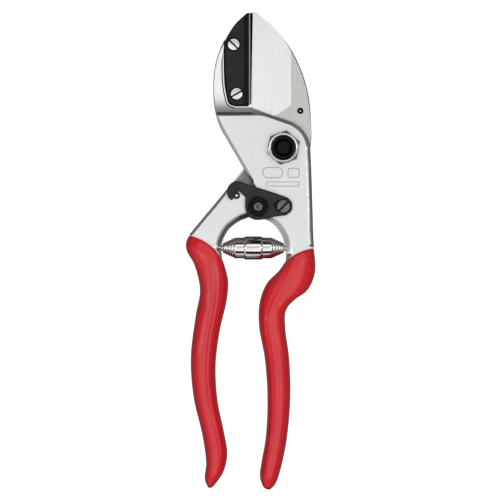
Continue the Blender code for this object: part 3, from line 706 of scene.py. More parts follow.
def anvil_handle_outline():
    jaw_back = curve([(-16.2, 59.0), (-20.8, 54.6), (-25.7, 47.4), (-29.5, 37.7), (-30.7, 25.6),
                      (-29.6, 14.9), (-27.6, 9.1), (-25.1, 4.6)])
    diagonal = curve([(-25.1, 4.6), (-13.9, -14.9)])
    upper_back = [point for point in jaw_back if point[1] > JAW_SHOULDER]
    lower_back = [point for point in jaw_back if point[1] <= JAW_SHOULDER]
    seam = curve([(-13.4, -15.9), (-12.0, -19.0), (-11.5, -22.5), (-11.5, -27.0), (-11.2, -29.6)])
    opening = curve([(-10.3, -31.0), (-7.5, -31.5), (-3.4, -34.3), (0.1, -39.9), (1.25, -46.2),
                     (1.22, -48.8)])
    side = curve([(13.46, -43.2), (13.2, -39.0), (12.8, -26.0), (12.2, -7.4), (11.9, -0.8)])
    shoulder = curve([(11.9, -0.8), (11.3, 2.9), (9.6, 6.6), (6.9, 9.5), (3.9, 11.4)])
    top = curve([(3.9, 11.4), (-5.8, 14.8), (-13.2, 17.4)])
    jaw_front = [(-15.3, 18.5)] + curve([(-15.3, 20.0), (-15.3, 59.3)], 1.5)
    return with_rims((upper_back, (0.7, 0.7, 1.0)), (lower_back, (1.6, 1.1, 0.75)),
                     (diagonal, (1.6, 1.1, 0.75)), (seam[:3], (1.1, 0.8, 0.85)),
                     (seam[3:], (0.6, 0.5, 1.0)), (opening, BROAD_BEVEL),
                     (ANVIL_GRIP.mouth(MOUTH_GAP), (0.1, 0.1, 1.0)),
                     (side, (2.5, 2.4, 0.85)), (shoulder, (2.4, 2.4, 1.0)), (top, (2.4, 2.4, 1.0)),
                     (jaw_front, (0.3, 0.3, 1.0)))


NOSE_Y = 47.4              # beyond it the jaw is only as high as the anvil's floor
POCKET_FACE_X = -14.45     # the pocket's open side, by the cutting face
POCKET_GAP = 0.6           # between the anvil and the pocket's wall
LEDGE_END_Y, LEDGE_FADE = 43.5, 6.0
ANVIL_LOW_Y = 18.8


def anvil_outline(face_x):
    nose = curve([(-16.1, 58.9), (-20.7, 54.6), (-23.3, 51.0), (-25.0, 47.9)])
    back = curve([(-25.4, 46.0), (-25.5, 37.0), (-25.1, 27.5), (-24.1, 21.7)])
    corner = curve([(-24.1, 21.7), (-23.2, 19.7), (-21.0, ANVIL_LOW_Y)], 0.5)
    return chain(nose, back, corner, [(face_x, ANVIL_LOW_Y), (face_x, 59.2)])


def groove_mesh(low, high, corner, width, depth):
    """A groove round a rectangle with round corners, in the front face of the body."""
    left, right = low[0] + corner, high[0] - corner
    lower, upper = low[1] + corner, high[1] - corner
    loops = []
    for radius in (corner, corner - width):
        loop = []
        for centre, start in (((right, upper), 0.0), ((left, upper), 90.0),
                              ((left, lower), 180.0), ((right, lower), 270.0)):
            loop += arc(centre, radius, start, start + 90.0, 15.0)
        loops.append(loop)
    floor, top = ARM_FRONT - depth, ARM_FRONT + 1.0
    outer, inner = loops
    return layered_mesh([(outer, floor), (outer, top), (inner, top), (inner, floor)], True)


def under_plate_outline():
    """Everything that the blade handle and the blade sweep behind the front plate."""
    stop = ARM_EDGE_OFFSET + 0.35
    root_x = -14.6
    nx, ny = polar(1.0, ARM_EDGE_ANGLE + 90 - OPEN_ANGLE)
    stop_end = (root_x, (stop - nx * root_x) / ny)
    stop_start = (-40.0, (stop + nx * 40.0) / ny)
    sweep = arc((0, 0), SWEEP_RADIUS, 245.0, 342.0)
    return chain([(30.0, 30.0), (root_x, 30.0), stop_end, stop_start, (-40.0, -22.0),
                  (-11.4, -19.8)], sweep, [(30.0, sweep[-1][1])])


def pocket_edge(ledge):
    """The pocket's outline with a ledge beside the anvil that narrows to nothing at the nose."""
    edge = []
    outline = anvil_outline(POCKET_FACE_X)
    for (x, y), (normal, lean) in zip(outline, inward_normals(outline)):
        share = min(1.0, max(0.0, (LEDGE_END_Y - y) / LEDGE_FADE))
        edge.append(tuple(Vector((x, y)) - normal * (POCKET_GAP + ledge * share) / lean))
    return edge


def from_outline(x, y):
    """Distance in plan to the anvil's outline."""
    return min(math.hypot(x - px, y - py) for px, py in anvil_outline(POCKET_FACE_X))


def buff_and_shade_rims(handle):
    """Gives the rims and the foot of the concave jaw their sharper finish and a darker colour that is
    painted shade.
    """
    handle.data.materials.append(SHADED_RIM)
    for polygon in handle.data.polygons:
        if abs(polygon.normal.z) < 0.97 and polygon.center.y / MM < JAW_SHOULDER + 1.6:
            polygon.material_index = 1


def lower_jaw(bm):
    """Thins the blank to the jaw's height over a concave shoulder."""
    steps = 20
    for i in range(steps + 1):
        y = JAW_SHOULDER + (JAW_SHOULDER_END - JAW_SHOULDER) * i / steps
        geometry = bm.verts[:] + bm.edges[:] + bm.faces[:]
        bmesh.ops.bisect_plane(bm, geom=geometry, plane_co=(0, y * MM, 0), plane_no=(0, 1, 0))
    for vert in bm.verts:
        drop = jaw_drop(vert.co.y / MM)
        if vert.co.z > MID_PLANE * MM:
            vert.co.z -= drop * (ARM_FRONT - JAW_FRONT) * MM
        else:
            vert.co.z += drop * (JAW_BACK - ARM_BACK) * MM


def shade_pocket_and_grooves(handle):
    """Painted shade: near-black in the gap round the anvil and a softer shade in the three grooves."""
    first = len(handle.data.materials)
    handle.data.materials.append(SHADE_AND_KNOB_BLACK)
    handle.data.materials.append(GROOVE)
    for polygon in handle.data.polygons:
        x, y, z = (value / MM for value in polygon.center)
        wall = abs(polygon.normal.z) < 0.95 and POCKET_LEDGE - 0.1 < z < JAW_FRONT + 0.3
        floor = abs(z - ANVIL_FLOOR) < 0.1 and polygon.normal.z > 0.9
        near_anvil = -28.2 < x < -15.4 and 16.9 < y < NOSE_Y
        if near_anvil and (floor or wall and from_outline(x, y) < 1.8):
            polygon.material_index = first
        elif ARM_FRONT - 0.3 < z < ARM_FRONT - 0.02 and -9.5 < x < 7.5 and -17.3 < y < -8.0:
            polygon.material_index = first + 1


def make_anvil_handle():
    bm = rounded_mesh(*anvil_handle_outline(), ARM_BACK, ARM_FRONT, BLANK_STEPS)
    lower_jaw(bm)
    handle = add_object("forged_anvil_handle", bm, ALUMINIUM, SHARP_ANGLE)
    nose = [(-32.0, NOSE_Y), (-10.0, NOSE_Y), (-10.0, 65.0), (-32.0, 65.0)]
    tools = [
        prism_mesh(under_plate_outline(), 1.0, PLATE_BACK),
        prism_mesh(pocket_edge(0.0), ANVIL_FLOOR, ABOVE),
        layered_mesh([(pocket_edge(0.5), POCKET_LEDGE), (pocket_edge(1.0), JAW_FRONT),
                      (pocket_edge(1.0), ABOVE)]),
        prism_mesh(nose, ANVIL_FLOOR, ABOVE),
        disc_mesh((0, 0), BUSH_BORE, 5.0, ABOVE, 72),
        disc_mesh(CATCH_PIVOT, PIVOT_HOLE, 8.7, ABOVE, 32),
        stud_hole_mesh(0.0, 3.8),
        groove_mesh((-9.0, -13.3), (-0.2, -8.4), 2.2, 0.32, 0.16),
        groove_mesh((1.9, -13.1), (7.1, -8.8), 1.2, 0.32, 0.16),
        groove_mesh((-7.7, -16.9), (7.1, -14.8), 0.9, 0.28, 0.13),
    ]
    for name in ANVIL_SCREWS:
        tools.append(disc_mesh(centre_of(name), SCREW_HOLE, 0.0, 9.0, SCREW_SIDES))
    carve(handle, tools, SHARP_ANGLE)
    buff_and_shade_rims(handle)
    shade_pocket_and_grooves(handle)
    flat_normals(handle)
    place(handle, "anvil_side", "forged_aluminium", "anvil_handle")
    tang("anvil_handle_tang", ANVIL_GRIP, "anvil_side")


def arm_edge_point(distance, along):
    """A point on a line parallel to the blade handle's outer edge, measured from its foot."""
    nx, ny = polar(distance, ARM_EDGE_ANGLE + 90)
    dx, dy = polar(along, ARM_EDGE_ANGLE)
    return (nx + dx, ny + dy)


def chord(radius, distance):
    """Half the chord that a line at this distance cuts from a circle about the pivot."""
    return math.sqrt(radius ** 2 - distance ** 2)


def blade_handle_outline():
    edge_top = arm_edge_point(ARM_EDGE_OFFSET, -chord(DISC_RADIUS, ARM_EDGE_OFFSET))
    straight_end = arm_edge_point(ARM_EDGE_OFFSET, -38.0)
    mouth = BLADE_GRIP.mouth(MOUTH_GAP, 0.85)
    straight = curve([edge_top, straight_end])
    flare = curve([straight_end, arm_edge_point(ARM_EDGE_OFFSET + 0.2, -46.0), mouth[0]])
    opening = curve([(-27.1, -45.4), (-27.0, -42.2), (-26.0, -39.2), (-23.5, -35.3),
                     (-18.9, -31.9), (-14.6, -30.3), (-13.0, -29.8)])
    seam = curve([(-12.1, -28.6), (-12.1, -25.0), (-12.2, -22.0), (-12.9, -18.7)])
    start = math.degrees(math.atan2(edge_top[1], edge_top[0])) % 360
    disc = arc((0, 0), DISC_RADIUS, 244.5, 360.0 + start)
    return with_rims((straight, (1.8, 1.8, 1.0)), (flare, (1.8, 1.8, 1.0)),
                     (mouth, (0.1, 0.1, 1.0)), (opening, BROAD_BEVEL),
                     (seam, (0.6, 0.5, 1.0)), (disc, (0.5, 0.5, 1.0)))


def make_blade_handle():
    bm = rounded_mesh(*blade_handle_outline(), ARM_BACK, ARM_FRONT, BLANK_STEPS)
    handle = add_object("forged_blade_handle", bm, ALUMINIUM, SHARP_ANGLE)
    tools = [
        disc_mesh((0, 0), RECESS_RADIUS, RECESS_FLOOR, ABOVE, 180),
        disc_mesh((0, 0), BUSH_BORE, 0.0, 9.0, 72),
        disc_mesh(CATCH_PIN, 1.7, 9.2, ABOVE, 32),
        disc_mesh(BLADE_SCREW, SCREW_HOLE, 0.0, 9.0, SCREW_SIDES),
        disc_mesh(BLADE_SCREW, 3.3, 0.0, 4.7),
        disc_mesh(BLADE_DOWEL, DOWEL_HOLE, 4.2, 9.0, SCREW_SIDES),
        stud_hole_mesh(-28.6, -26.0),
    ]
    carve(handle, tools, SHARP_ANGLE)
    buff_and_shade_rims(handle)
    flat_normals(handle)
    place(handle, "blade_side", "forged_aluminium", "blade_handle")
    tang("blade_handle_tang", BLADE_GRIP, "blade_side")


# ---- blade -------------------------------------------------------------------------------
BEVEL_RIDGE_X = 3.4
BEVEL_SHOULDER_Y = 18.7
EDGE_HALF_WIDTH = 0.15


def blade_outline():
    edge_gap = ARM_EDGE_OFFSET - 0.8
    tail_radius = RECESS_RADIUS - CLEARANCE
    tail_corner = arm_edge_point(edge_gap, -chord(tail_radius, edge_gap))
    heel = curve([(-14.05, 17.8), (-13.95, 6.0), (-13.5, -1.5), arm_edge_point(edge_gap, -13.4)])
    start = math.degrees(math.atan2(tail_corner[1], tail_corner[0])) % 360
    tail = arc((0, 0), tail_radius, start, 234.6, 2.0)
    disc = arc((0, 0), DISC_RADIUS - CLEARANCE, 243.0, 330.0)
    back = curve([(11.3, -3.2), (12.3, 3.0), (12.3, 9.7), (11.3, 22.0), (8.4, 32.9), (3.2, 43.7),
                  (-4.5, 53.3), (-11.6, 59.7)])
    edge = curve([(-13.3, 60.0), (-14.05, 17.8)], 1.5)
    fine, bold = (0.1, 0.1, 1.0), (0.5, 0.8, 1.0)
    return with_rims((edge, fine), (heel, fine), ([tail_corner], fine), (tail, fine), (disc, fine),
                     (back, bold))


SAP_HOLE = (7.5, 16.3)


def sap_hole_mesh():
    """A small hole with a wide countersink."""
    line = [(0, 5.0), (0.28, 5.0), (0.28, BLADE_BACK + 1.2), (1.4, BLADE_FRONT - 0.2), (1.4, 12.0),
            (0, 12.0)]
    return moved(lathe_mesh(line, 40, through=False), SAP_HOLE)


def bevel_mesh(face, sign):
    """The wedge ground off one face: the ridge on its right, the slanting shoulder below it."""
    half = (BLADE_FRONT - BLADE_BACK) / 2
    fall = (half - EDGE_HALF_WIDTH) / (BEVEL_RIDGE_X + 14.0)
    bm = bmesh.new()
    near, far = [], []
    for x, y in ((BEVEL_RIDGE_X, BEVEL_SHOULDER_Y), (BEVEL_RIDGE_X, 75.0), (-30.0, 75.0), (-30.0, -3.6)):
        ground = face - sign * (BEVEL_RIDGE_X - x) * fall
        near.append(bm.verts.new((x * MM, y * MM, ground * MM)))
        far.append(bm.verts.new((x * MM, y * MM, (face + sign * 9.0) * MM)))
    join_rings(bm, [near, far])
    bm.faces.new(near)
    bm.faces.new(far)
    return bm


def make_blade():
    bm = rounded_mesh(*blade_outline(), BLADE_BACK, BLADE_FRONT, 3)
    blade = add_object("ground_blade", bm, BRUSHED, 12.0)
    tools = [disc_mesh((0, 0), BUSH_BORE, 5.0, 12.0, 72), sap_hole_mesh(),
             disc_mesh(BLADE_SCREW, SCREW_HOLE, 5.0, 12.0, SCREW_SIDES),
             disc_mesh(BLADE_DOWEL, DOWEL_HOLE, 5.0, 12.0, SCREW_SIDES),
             bevel_mesh(BLADE_FRONT, 1), bevel_mesh(BLADE_BACK, -1)]
    carve(blade, tools, 3.0)
    for mat in (BEVEL, SHADE_AND_KNOB_BLACK, SHADED_TAIL):
        blade.data.materials.append(mat)
    for polygon in blade.data.polygons:
        x, y = polygon.center.x / MM, polygon.center.y / MM
        ground = abs(polygon.normal.x) > 0.02 and abs(polygon.normal.z) > 0.9
        from_hole = math.hypot(x - SAP_HOLE[0], y - SAP_HOLE[1])
        # painted shade: the walls of the sap hole get the near-black
        if from_hole < 1.39 and abs(polygon.normal.z) < 0.95:
            polygon.material_index = 2
        elif ground and y > 5.0:
            polygon.material_index = 1
        # painted shade: the tail under the front plate gets the darker steel
        elif y < -6.0 and x < -4.0:
            polygon.material_index = 3
    place(blade, "blade_side", "blade_steel", "blade")


# ---- anvil and its screws ----------------------------------------------------------------
def make_anvil():
    face_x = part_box("anvil")[1][0] / MM
    skin_x = face_x - 0.55
    bm = rounded_mesh(anvil_outline(skin_x), 0.45, ANVIL_BACK, ANVIL_FRONT, 4)
    anvil = add_object("black_anvil", bm, BLACK, 35.0)
    tools = []
    for name in ANVIL_SCREWS:
        tools.append(disc_mesh(centre_of(name), SCREW_HOLE, 4.0, 14.0, SCREW_SIDES))
        tools.append(disc_mesh(centre_of(name), 3.15, 10.3, 14.0, 64))
    # a shallow relief along the cutting side
    relief_z = ANVIL_FRONT - 0.3
    relief = [(-17.2, 10.0), (-10.0, 10.0), (-10.0, 70.0), (-17.2, 70.0)]
    tools.append(prism_mesh(relief, relief_z, ABOVE))
    carve(anvil, tools, 35.0)
    # painted shade: the floor of the relief gets the near-black
    paint_shade(anvil, lambda centre: abs(centre.z / MM - relief_z) < 0.02)
    flat_normals(anvil)
    place(anvil, "anvil_side", "black_coating", "anvil")
    strip = [(skin_x, 19.0), (face_x, 19.0), (face_x, 59.2), (skin_x, 59.2)]
    face = add_object("anvil_bare_face", prism_mesh(strip, ANVIL_BACK, ANVIL_FRONT - 0.5), BARE)
    place(face, "anvil_side", "bright_steel")
    # a near-black lip behind the cutting edge is painted shade in the gap there
    lip = [(-15.1, 19.6), (-13.75, 19.6), (-13.1, 59.5), (-15.1, 59.5)]
    piece = add_object("gap_shade_lip", prism_mesh(lip, JAW_BACK + 0.4, ANVIL_FLOOR - 0.3), SHADE_AND_KNOB_BLACK)
    place(piece, "anvil_side", "black_coating")


def slotted_screw(node, slot_angle, mat, seat, head, shank, slot_width):
    """A cheese-head screw with a softly broken rim and a driver's slot."""
    at, back, front = centre_of(node), back_of(node), front_of(node) - 0.04
    line = [(0, back), (shank - 0.3, back), (shank, back + 0.4), (shank, seat), (head, seat)]
    for i in range(5):
        x, z = polar(0.4, 90.0 * i / 4)
        line.append((head - 0.4 + x, front - 0.45 + z))
    line += [(head * 0.5, front + 0.02), (0, front + 0.04)]
    screw = turned(f"{node}_head", line, mat, at, 64, False)
    floor = front - 0.7
    carve(screw, [bar_mesh(at, 2 * head + 1, slot_width, floor, front + 1.0, slot_angle)])
    # painted shade: the floor of the slot gets the near-black
    paint_shade(screw, lambda centre: floor - 0.01 < centre.z / MM < front - 0.5
           and math.hypot(centre.x / MM - at[0], centre.y / MM - at[1]) < head - 0.05)
    place(screw, "anvil_side", "bright_steel", node)


def make_anvil_screws():
    for name, angle in ANVIL_SCREWS.items():
        slotted_screw(name, angle, BRIGHT, 10.6, 2.7, 1.5, 0.75)


# ---- pivot -------------------------------------------------------------------------------
def hex_radius(across_flats, turn):
    """The reach of a hexagon in any direction."""
    def reach(angle, radius):
        folded = (angle - turn) % 60.0 - 30.0
        return across_flats / 2 / math.cos(math.radians(folded))
    return reach


def make_pivot():
    bolt_radius, bore = 5.0, 5.3
    bolt_front = front_of("pivot_bolt")
    line = [(0, 0), (6.3, 0), (6.7, 0.12), (7.1, 0.5), (7.2, 1.0), (7.2, 2.0), (7.0, 2.2),
            (bolt_radius, 2.2), (bolt_radius, bolt_front - 0.5), (bolt_radius - 0.2, bolt_front - 0.1),
            (bolt_radius - 0.5, bolt_front), (3.95, bolt_front), (3.7, bolt_front - 0.25),
            (3.3, bolt_front - 1.2), (2.6, bolt_front - 1.7), (0, bolt_front - 1.75)]
    bolt = turned("staked_pivot_bolt", line, DARK, (0, 0), 96, False)
    notches = []
    for i in range(4):
        angle = 25.0 + 90.0 * i
        notches.append(bar_mesh(polar(4.75, angle), 1.3, 1.1, bolt_front - 0.7, bolt_front + 1, angle))
    carve(bolt, notches)
    bolt.data.materials.append(BRIGHT)
    for polygon in bolt.data.polygons:
        polygon.material_index = 1 if polygon.center.z < 0.010 else 0
    place(bolt, "anvil_side", "bright_steel", "pivot_bolt")
    nut = [(bore, NUT_BACK), (7.2, NUT_BACK), (7.9, NUT_BACK + 0.35)]
    for i in range(9):
        radius = 7.9 - (7.9 - 6.45) * i / 8
        nut.append((radius, NUT_FRONT - 0.95 + 0.83 * (i / 8) ** 0.9))
    nut += [(6.3, NUT_FRONT), (5.9, NUT_FRONT), (5.6, NUT_FRONT - 0.1), (bore, NUT_FRONT - 0.45)]
    piece = turned("hexagon_nut", nut, PLATED, (0, 0), 144, limit=hex_radius(13.3, 20.0))
    place(piece, "anvil_side", "plated_steel", "pivot_nut")


# ---- catch -------------------------------------------------------------------------------
def lever_outline():
    hook = curve([(-18.6, -14.8), (-21.6, -14.8), (-24.2, -17.2), (-24.4, -20.9), (-22.9, -22.9)], 0.5)
    notch = curve([(-22.2, -22.8), (-21.5, -21.2), (-20.6, -19.6), (-19.0, -19.1), (-17.3, -19.9),
                   (-16.6, -21.8)], 0.4)
    neck = curve([(-16.6, -21.8), (-16.7, -26.0), (-15.6, -29.6), (-12.9, -31.4), (-9.6, -31.5),
                  (-5.8, -30.6), (-2.0, -29.9)], 0.6)
    round_end = curve([(-2.0, -29.9), (1.4, -29.3), (3.7, -27.1), (3.7, -24.0), (1.9, -21.8)], 0.5)
    top = curve([(1.9, -21.8), (-3.2, -20.0), (-10.0, -17.8), (-15.0, -16.2), (-18.6, -14.8)], 0.8)
    return chain(hook, notch, neck, round_end, top)


def make_catch():
    bm = rounded_mesh(lever_outline(), 0.7, LEVER_BACK, LEVER_FRONT, 5)
    lever = add_object("catch_hook_lever", bm, BLACK_LEVER, SHARP_ANGLE)
    flank = [(-4.6, -24.6), (-3.1, -27.3), (-1.8, -28.4), (-0.4, -27.6), (-0.4, -23.2), (-2.2, -22.7)]
    flank_z = LEVER_SEAT + 0.3
    tools = [
        disc_mesh(CATCH_PIVOT, PIVOT_HOLE, 14.0, ABOVE, 32),
        disc_mesh(CATCH_PIVOT, 3.2, LEVER_SEAT, ABOVE, 64),
        disc_mesh(KNOB_CENTRE, 1.6, 14.0, ABOVE, 32),
        prism_mesh(flank, flank_z, ABOVE),
    ]
    carve(lever, tools, SHARP_ANGLE)
    # painted shade: the recess round the screw head and the flank beside it get the near-black
    paint_shade(lever, lambda centre: LEVER_SEAT + 0.05 < centre.z / MM < LEVER_FRONT - 0.1
           and -4.8 < centre.x / MM < -0.3 and -28.6 < centre.y / MM < -22.5)
    paint_shade(lever, lambda centre: abs(centre.z / MM - flank_z) < 0.02)
    flat_normals(lever)
    place(lever, "catch", "black_coating", "catch_lever")
    slotted_screw("catch_screw", 45.0, SCREW_GREY, LEVER_SEAT + CLEARANCE, 2.9, 2.0, 0.9)
    make_knob()
    back, front = back_of("catch_pin"), front_of("catch_pin")
    line = [(0, back), (1.4, back), (1.4, front - 0.6), (1.2, front - 0.4), (0.8, front - 0.3),
            (0.7, front - 0.05), (0.5, front), (0, front)]
    pin = turned("catch_pin_domed", line, PLATED, CATCH_PIN, 40, False, smooth_angle=50.0)
    # painted shade: a near-black ring round the pin's bright top
    paint_shade(pin, lambda centre: math.hypot(centre.x / MM - CATCH_PIN[0],
                                          centre.y / MM - CATCH_PIN[1]) > 0.85)
    place(pin, "blade_side", "bright_steel", "catch_pin")


def make_knob():
    teeth, back, front = 22, back_of("catch_knob"), front_of("catch_knob")

    def knurl(angle, radius):
        ridge = abs((angle * teeth / 360.0) % 1.0 - 0.5) * 2
        return radius if radius < 3.4 else radius - 0.75 * (1 - ridge) ** 1.3

    knob = [(1.6, back), (4.1, back), (4.5, back + 0.4), (4.5, front - 0.9), (4.35, front - 0.5),
            (3.85, front - 0.08), (3.6, front), (2.7, front), (2.5, front - 0.25), (1.6, front - 0.25)]
    piece = turned("knurled_knob", knob, SHADE_AND_KNOB_BLACK, KNOB_CENTRE, 8 * teeth, limit=knurl)
    place(piece, "catch", "black_coating", "catch_knob")
    rivet_front = front_of("catch_knob_rivet")
    rivet = [(0, LEVER_BACK), (1.3, LEVER_BACK), (1.3, front - 0.1), (1.9, front - 0.1),
             (1.95, front + 0.3), (1.8, rivet_front - 0.2), (1.3, rivet_front - 0.02),
             (0.9, rivet_front), (0.55, rivet_front - 0.35), (0, rivet_front - 0.45)]
    piece = turned("knob_rivet_head", rivet, SCREW_GREY, KNOB_CENTRE, 48, False, smooth_angle=45.0)
    place(piece, "catch", "plated_steel", "catch_knob_rivet")


# ---- volute spring -----------------------------------------------------------------------
STRIP_THICKNESS = 0.35
STRIP_STEPS = 64           # rows of vertices in a turn
ROLL, ROLL_REACH = 0.35, 0.7   # how far a coil's edges are rolled in, and how wide the roll is
FAR = 9.0                  # too far from an edge to be rolled


def stair(values, s):
    """A value that holds for each coil and moves to the next one on the coil's hidden side."""
    s = abs(s)
    coil = min(int(s + 0.5), len(values) - 1)
    neighbour = min(coil + 1, len(values) - 1) if s > coil else coil - 1
    blend = min(1.0, max(0.0, (abs(s - coil) - 0.25) / 0.5))
    return values[coil] + (values[neighbour] - values[coil]) * blend * blend * (3 - 2 * blend)


def strip_row(bm, s, centre, outer, inner, radius):
    """The strip's vertices at s turns from its middle, from its hidden edge to its outer edge."""
    side = 1 if s >= 0 else -1
    middle_coil = abs(s) < 0.5
    places = [(inner + side * min(part, abs(outer - inner) / 3), part if middle_coil else FAR)
              for part in (0.0, 0.15, 0.4, 1.2, 3.2)]
    places += [(outer - side * part, part) for part in (1.2, 0.4, 0.0)]
    row = []
    for x, from_edge in places:
        droop = ROLL * max(0.0, 1 - from_edge / ROLL_REACH) ** 2
        y, z = polar(radius - droop, 90.0 + 360.0 * s)
        row.append(bm.verts.new(((centre + x) * MM, (SPRING_CENTRE[1] + y) * MM, (MID_PLANE + z) * MM)))
    return row if side > 0 else list(reversed(row))


def make_spring():
    """One strip of sheet coiled both ways from its widest, middle coil."""
    low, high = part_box("volute_spring")
    half = (high[0] - low[0]) / 2 / MM - 0.1
    centre = (low[0] + high[0]) / 2 / MM
    # for each coil from the middle on: its outer edge, its radius and its hidden edge
    edges = [4.0, 8.6, 9.8, 11.0, 12.2, half]
    radii = [4.95, 4.4, 3.85, 3.3, 2.75, 2.2]
    hidden = [-4.0, 3.0, 7.6, 8.8, 10.0, 11.2]
    turns = len(edges) - 0.55
    count = round(2 * turns * STRIP_STEPS)
    bm = bmesh.new()
    rows = []
    for i in range(count + 1):
        s = -turns + 2 * turns * i / count
        side = 1 if s >= 0 else -1
        rows.append(strip_row(bm, s, centre, side * stair(edges, s), side * stair(hidden, s),
                              stair(radii, s)))
    for first, second in zip(rows, rows[1:]):
        for j in range(len(first) - 1):
            bm.faces.new((first[j], first[j + 1], second[j + 1], second[j]))
    mesh = bpy.data.meshes.new("volute_strip")
    bm.to_mesh(mesh)
    bm.free()
    mesh.shade_smooth()
    spring = bpy.data.objects.new("volute_strip", mesh)
    bpy.context.scene.collection.objects.link(spring)
    mesh.materials.append(CHROME)
    solid = spring.modifiers.new("strip_thickness", "SOLIDIFY")
    solid.thickness = STRIP_THICKNESS * MM
    solid.offset = 0
    settle(spring, SHARP_ANGLE)
    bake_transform(spring)
    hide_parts("volute_spring")


# ---- grips -------------------------------------------------------------------------------
def grip_half_height(t):
    """Full height along the grip, a slightly lower mouth and a round tip."""
    if t < 0.06:
        return HALF_GRIP - 0.7 * (1 - t / 0.06) ** 2
    tip = max(0.0, (t - 0.90) / 0.10)
    return HALF_GRIP * (0.22 + 0.78 * math.sqrt(max(0.0, 1 - tip ** 2.4)))


def soft_ridges(lines, fade_in, fade_out):
    """Relief between two soft lengthwise ridges at places across the grip, lines(t)."""
    def relief(t, u):
        fade = min(1.0, max(0.0, (t - fade_in) / 0.05)) * min(1.0, max(0.0, (fade_out - t) / 0.08))
        dip = 0.0
        for place_at, width, depth in lines(t):
            dip += depth * math.exp(-((u - place_at) / width) ** 2)
        return max(0.0, dip) * fade
    return relief


def make_grip(name, node, grip, relief, body):
    bm = bmesh.new()
    segments = 96
    stations = [0.0, 0.002, 0.005, 0.010, 0.017, 0.026, 0.038, 0.052, 0.068]
    stations += [0.085 + 0.805 * i / 70 for i in range(71)]
    stations += [0.90, 0.91, 0.92, 0.93, 0.94, 0.95, 0.96, 0.97, 0.98, 0.988, 0.994, 1.0]
    lips = {0.0: 0.55, 0.002: 0.22, 0.005: 0.05}
    outer = []
    for t in stations:
        inset = lips.get(t, 0.0)
        outer.append(grip.ring(bm, t, inset, grip_half_height(t) - inset, GRIP_POWER, segments, relief))
    bore = []
    for i in range(14):
        t = 0.88 * i / 13
        bore.append(grip.ring(bm, t, GRIP_WALL, TANG_HALF_HEIGHT + CLEARANCE, TANG_POWER, segments))
    join_rings(bm, list(reversed(outer)) + bore)
    bm.faces.new(outer[-1])
    bm.faces.new(bore[-1])
    piece = add_object(name, bm, VINYL, 50.0)
    place(piece, body, "red_vinyl", node)


def make_grips():
    blade_lines = soft_ridges(lambda t: ((0.32, 0.13, 0.030), (0.62, 0.10, 0.022)), 0.0, 0.9)
    anvil_lines = soft_ridges(lambda t: ((-0.42, 0.13, 0.030), (-0.12, 0.12, 0.020)), 0.0, 0.9)
    make_grip("blade_handle_sleeve", "blade_handle_grip", BLADE_GRIP, blade_lines, "blade_side")
    make_grip("anvil_handle_sleeve", "anvil_handle_grip", ANVIL_GRIP, anvil_lines, "anvil_side")


# ---- small CAD pieces that keep their shape ----------------------------------------------
def finish_cad_nodes():
    finishes = {"pivot_bush": PLATED, "friction_washer": PLATED, "catch_washer": PLATED,
                "spring_stud_left": BRIGHT, "spring_stud_right": BRIGHT, "blade_dowel": BRIGHT,
                "blade_screw": BRIGHT}
    for node, mat in finishes.items():
        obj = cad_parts[node]
        for slot in obj.material_slots:
            slot.material = mat


# ---- floor, light and camera -------------------------------------------------------------
PICTURE_CENTRE = (-0.01455, -0.04467)
LIT_POINT = (-0.0145, -0.045, 0.009)


def make_floor():
    bm = bmesh.new()
    bmesh.ops.create_grid(bm, x_segments=1, y_segments=1, size=1.5)
    floor = add_object("floor", bm)
    floor.location = (0, -0.045, -0.0002)
    finish = Finish("pale_floor", (0.5, 0.5, 0.5), 0.9)
    finish.shader.inputs["Emission Color"].default_value = (1, 1, 1, 1)
    finish.shader.inputs["Emission Strength"].default_value = 0.86
    floor.data.materials.append(finish.material)
    floor.visible_glossy = False
    floor.visible_diffuse = False


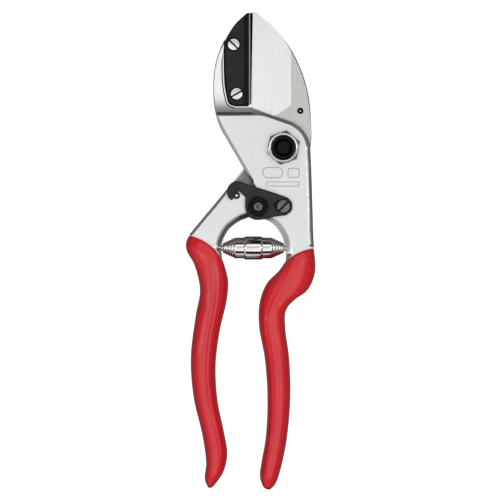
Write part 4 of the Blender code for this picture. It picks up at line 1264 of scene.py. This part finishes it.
def make_world():
    """A soft white sky with darker bands low down, so that rims and chrome have contrast."""
    world = bpy.data.worlds.new("studio")
    bpy.context.scene.world = world
    world.use_nodes = True
    tree = world.node_tree
    tree.nodes.clear()
    direction = add_node(tree, "TexCoord", {}).outputs["Generated"]

    def level(stops, axis):
        """A grey ramp over the world direction's component along a unit vector."""
        part = add_node(tree, "VectorMath", {0: direction, 1: axis}, operation="DOT_PRODUCT")
        half = add_node(tree, "Math", {0: part.outputs["Value"], 1: 0.5, 2: 0.5},
                        operation="MULTIPLY_ADD")
        ramp = add_node(tree, "ValToRGB", {"Fac": half.outputs[0]})
        elements = ramp.color_ramp.elements
        while len(elements) < len(stops):
            elements.new(0.5)
        for element, (value, grey) in zip(elements, stops):
            element.position = value / 2 + 0.5
            element.color = (grey, grey, grey, 1)
        return ramp.outputs["Color"]

    def mix(first, second, how):
        node = add_node(tree, "Mix", {"Factor": 1.0}, data_type="RGBA", blend_type=how)
        tree.links.new(first, node.inputs["A"])
        tree.links.new(second, node.inputs["B"])
        return node.outputs["Result"]

    along_y = level([(-0.88, 1.0), (-0.85, 0.02), (-0.58, 0.02), (-0.55, 1.0), (0.11, 1.0),
                     (0.13, 0.05), (0.20, 0.05), (0.22, 1.0), (0.66, 1.0), (0.70, 0.04),
                     (0.82, 0.04), (0.86, 0.8)], (0, 1, 0))
    # the bands are for the spring, which mirrors the middle of the sky
    beside = level([(-0.45, 1.0), (-0.33, 0.0), (0.33, 0.0), (0.45, 1.0)], (1, 0, 0))
    height = level([(-0.20, 0.10), (0.05, 0.20), (0.50, 0.17), (0.62, 0.05), (0.72, 0.04),
                    (0.84, 0.80), (0.90, 0.86), (0.97, 0.72), (1.0, 0.71)], (0, 0, 1))
    low_light = level([(-0.2, 0.0), (0.30, 0.05), (0.60, 0.32), (1.0, 0.60)], (-0.60, -0.80, 0))
    above = level([(-0.05, 0.04), (0.12, 1.0)], (0, 0, 1))
    bands = mix(along_y, beside, "LIGHTEN")
    glow = mix(height, mix(low_light, above, "MULTIPLY"), "LIGHTEN")
    background = add_node(tree, "Background", {"Color": mix(bands, glow, "MULTIPLY"), "Strength": 1.30})
    add_node(tree, "OutputWorld", {"Surface": background.outputs[0]})


def area_light(name, at, size, power, glossy=True):
    """A rectangular light aimed at the middle of the tool."""
    data = bpy.data.lights.new(name, "AREA")
    data.shape = "RECTANGLE"
    data.size, data.size_y = size
    data.energy = power
    lamp = bpy.data.objects.new(name, data)
    lamp.location = at
    lamp.rotation_euler = (Vector(LIT_POINT) - Vector(at)).to_track_quat("-Z", "Y").to_euler()
    lamp.visible_glossy = glossy
    bpy.context.scene.collection.objects.link(lamp)


def make_camera():
    """Straight down from far off: the frame is 219 mm wide at the middle of the tool."""
    frame_width, lens, sensor = 0.2192, 300.0, 36.0
    data = bpy.data.cameras.new("camera")
    data.lens = lens
    data.sensor_width = sensor
    data.clip_end = 20.0
    camera = bpy.data.objects.new("camera", data)
    camera.location = (*PICTURE_CENTRE, MID_PLANE * MM + frame_width * lens / sensor)
    bpy.context.scene.collection.objects.link(camera)
    bpy.context.scene.camera = camera


# ---- the whole picture -------------------------------------------------------------------
make_camera()
make_floor()
make_world()
area_light("left_strip", (-0.55, -0.05, 0.70), (0.06, 0.9), 0.45)
area_light("right_strip", (0.50, 0.0, 0.70), (0.05, 0.9), 0.35)
area_light("fill", (0.10, -0.25, 1.0), (0.9, 0.9), 5.5, False)
make_anvil_handle()
make_blade_handle()
make_blade()
make_anvil()
make_anvil_screws()
make_pivot()
make_catch()
make_spring()
make_grips()
finish_cad_nodes()
bpy.context.scene.view_settings.view_transform = "Standard"
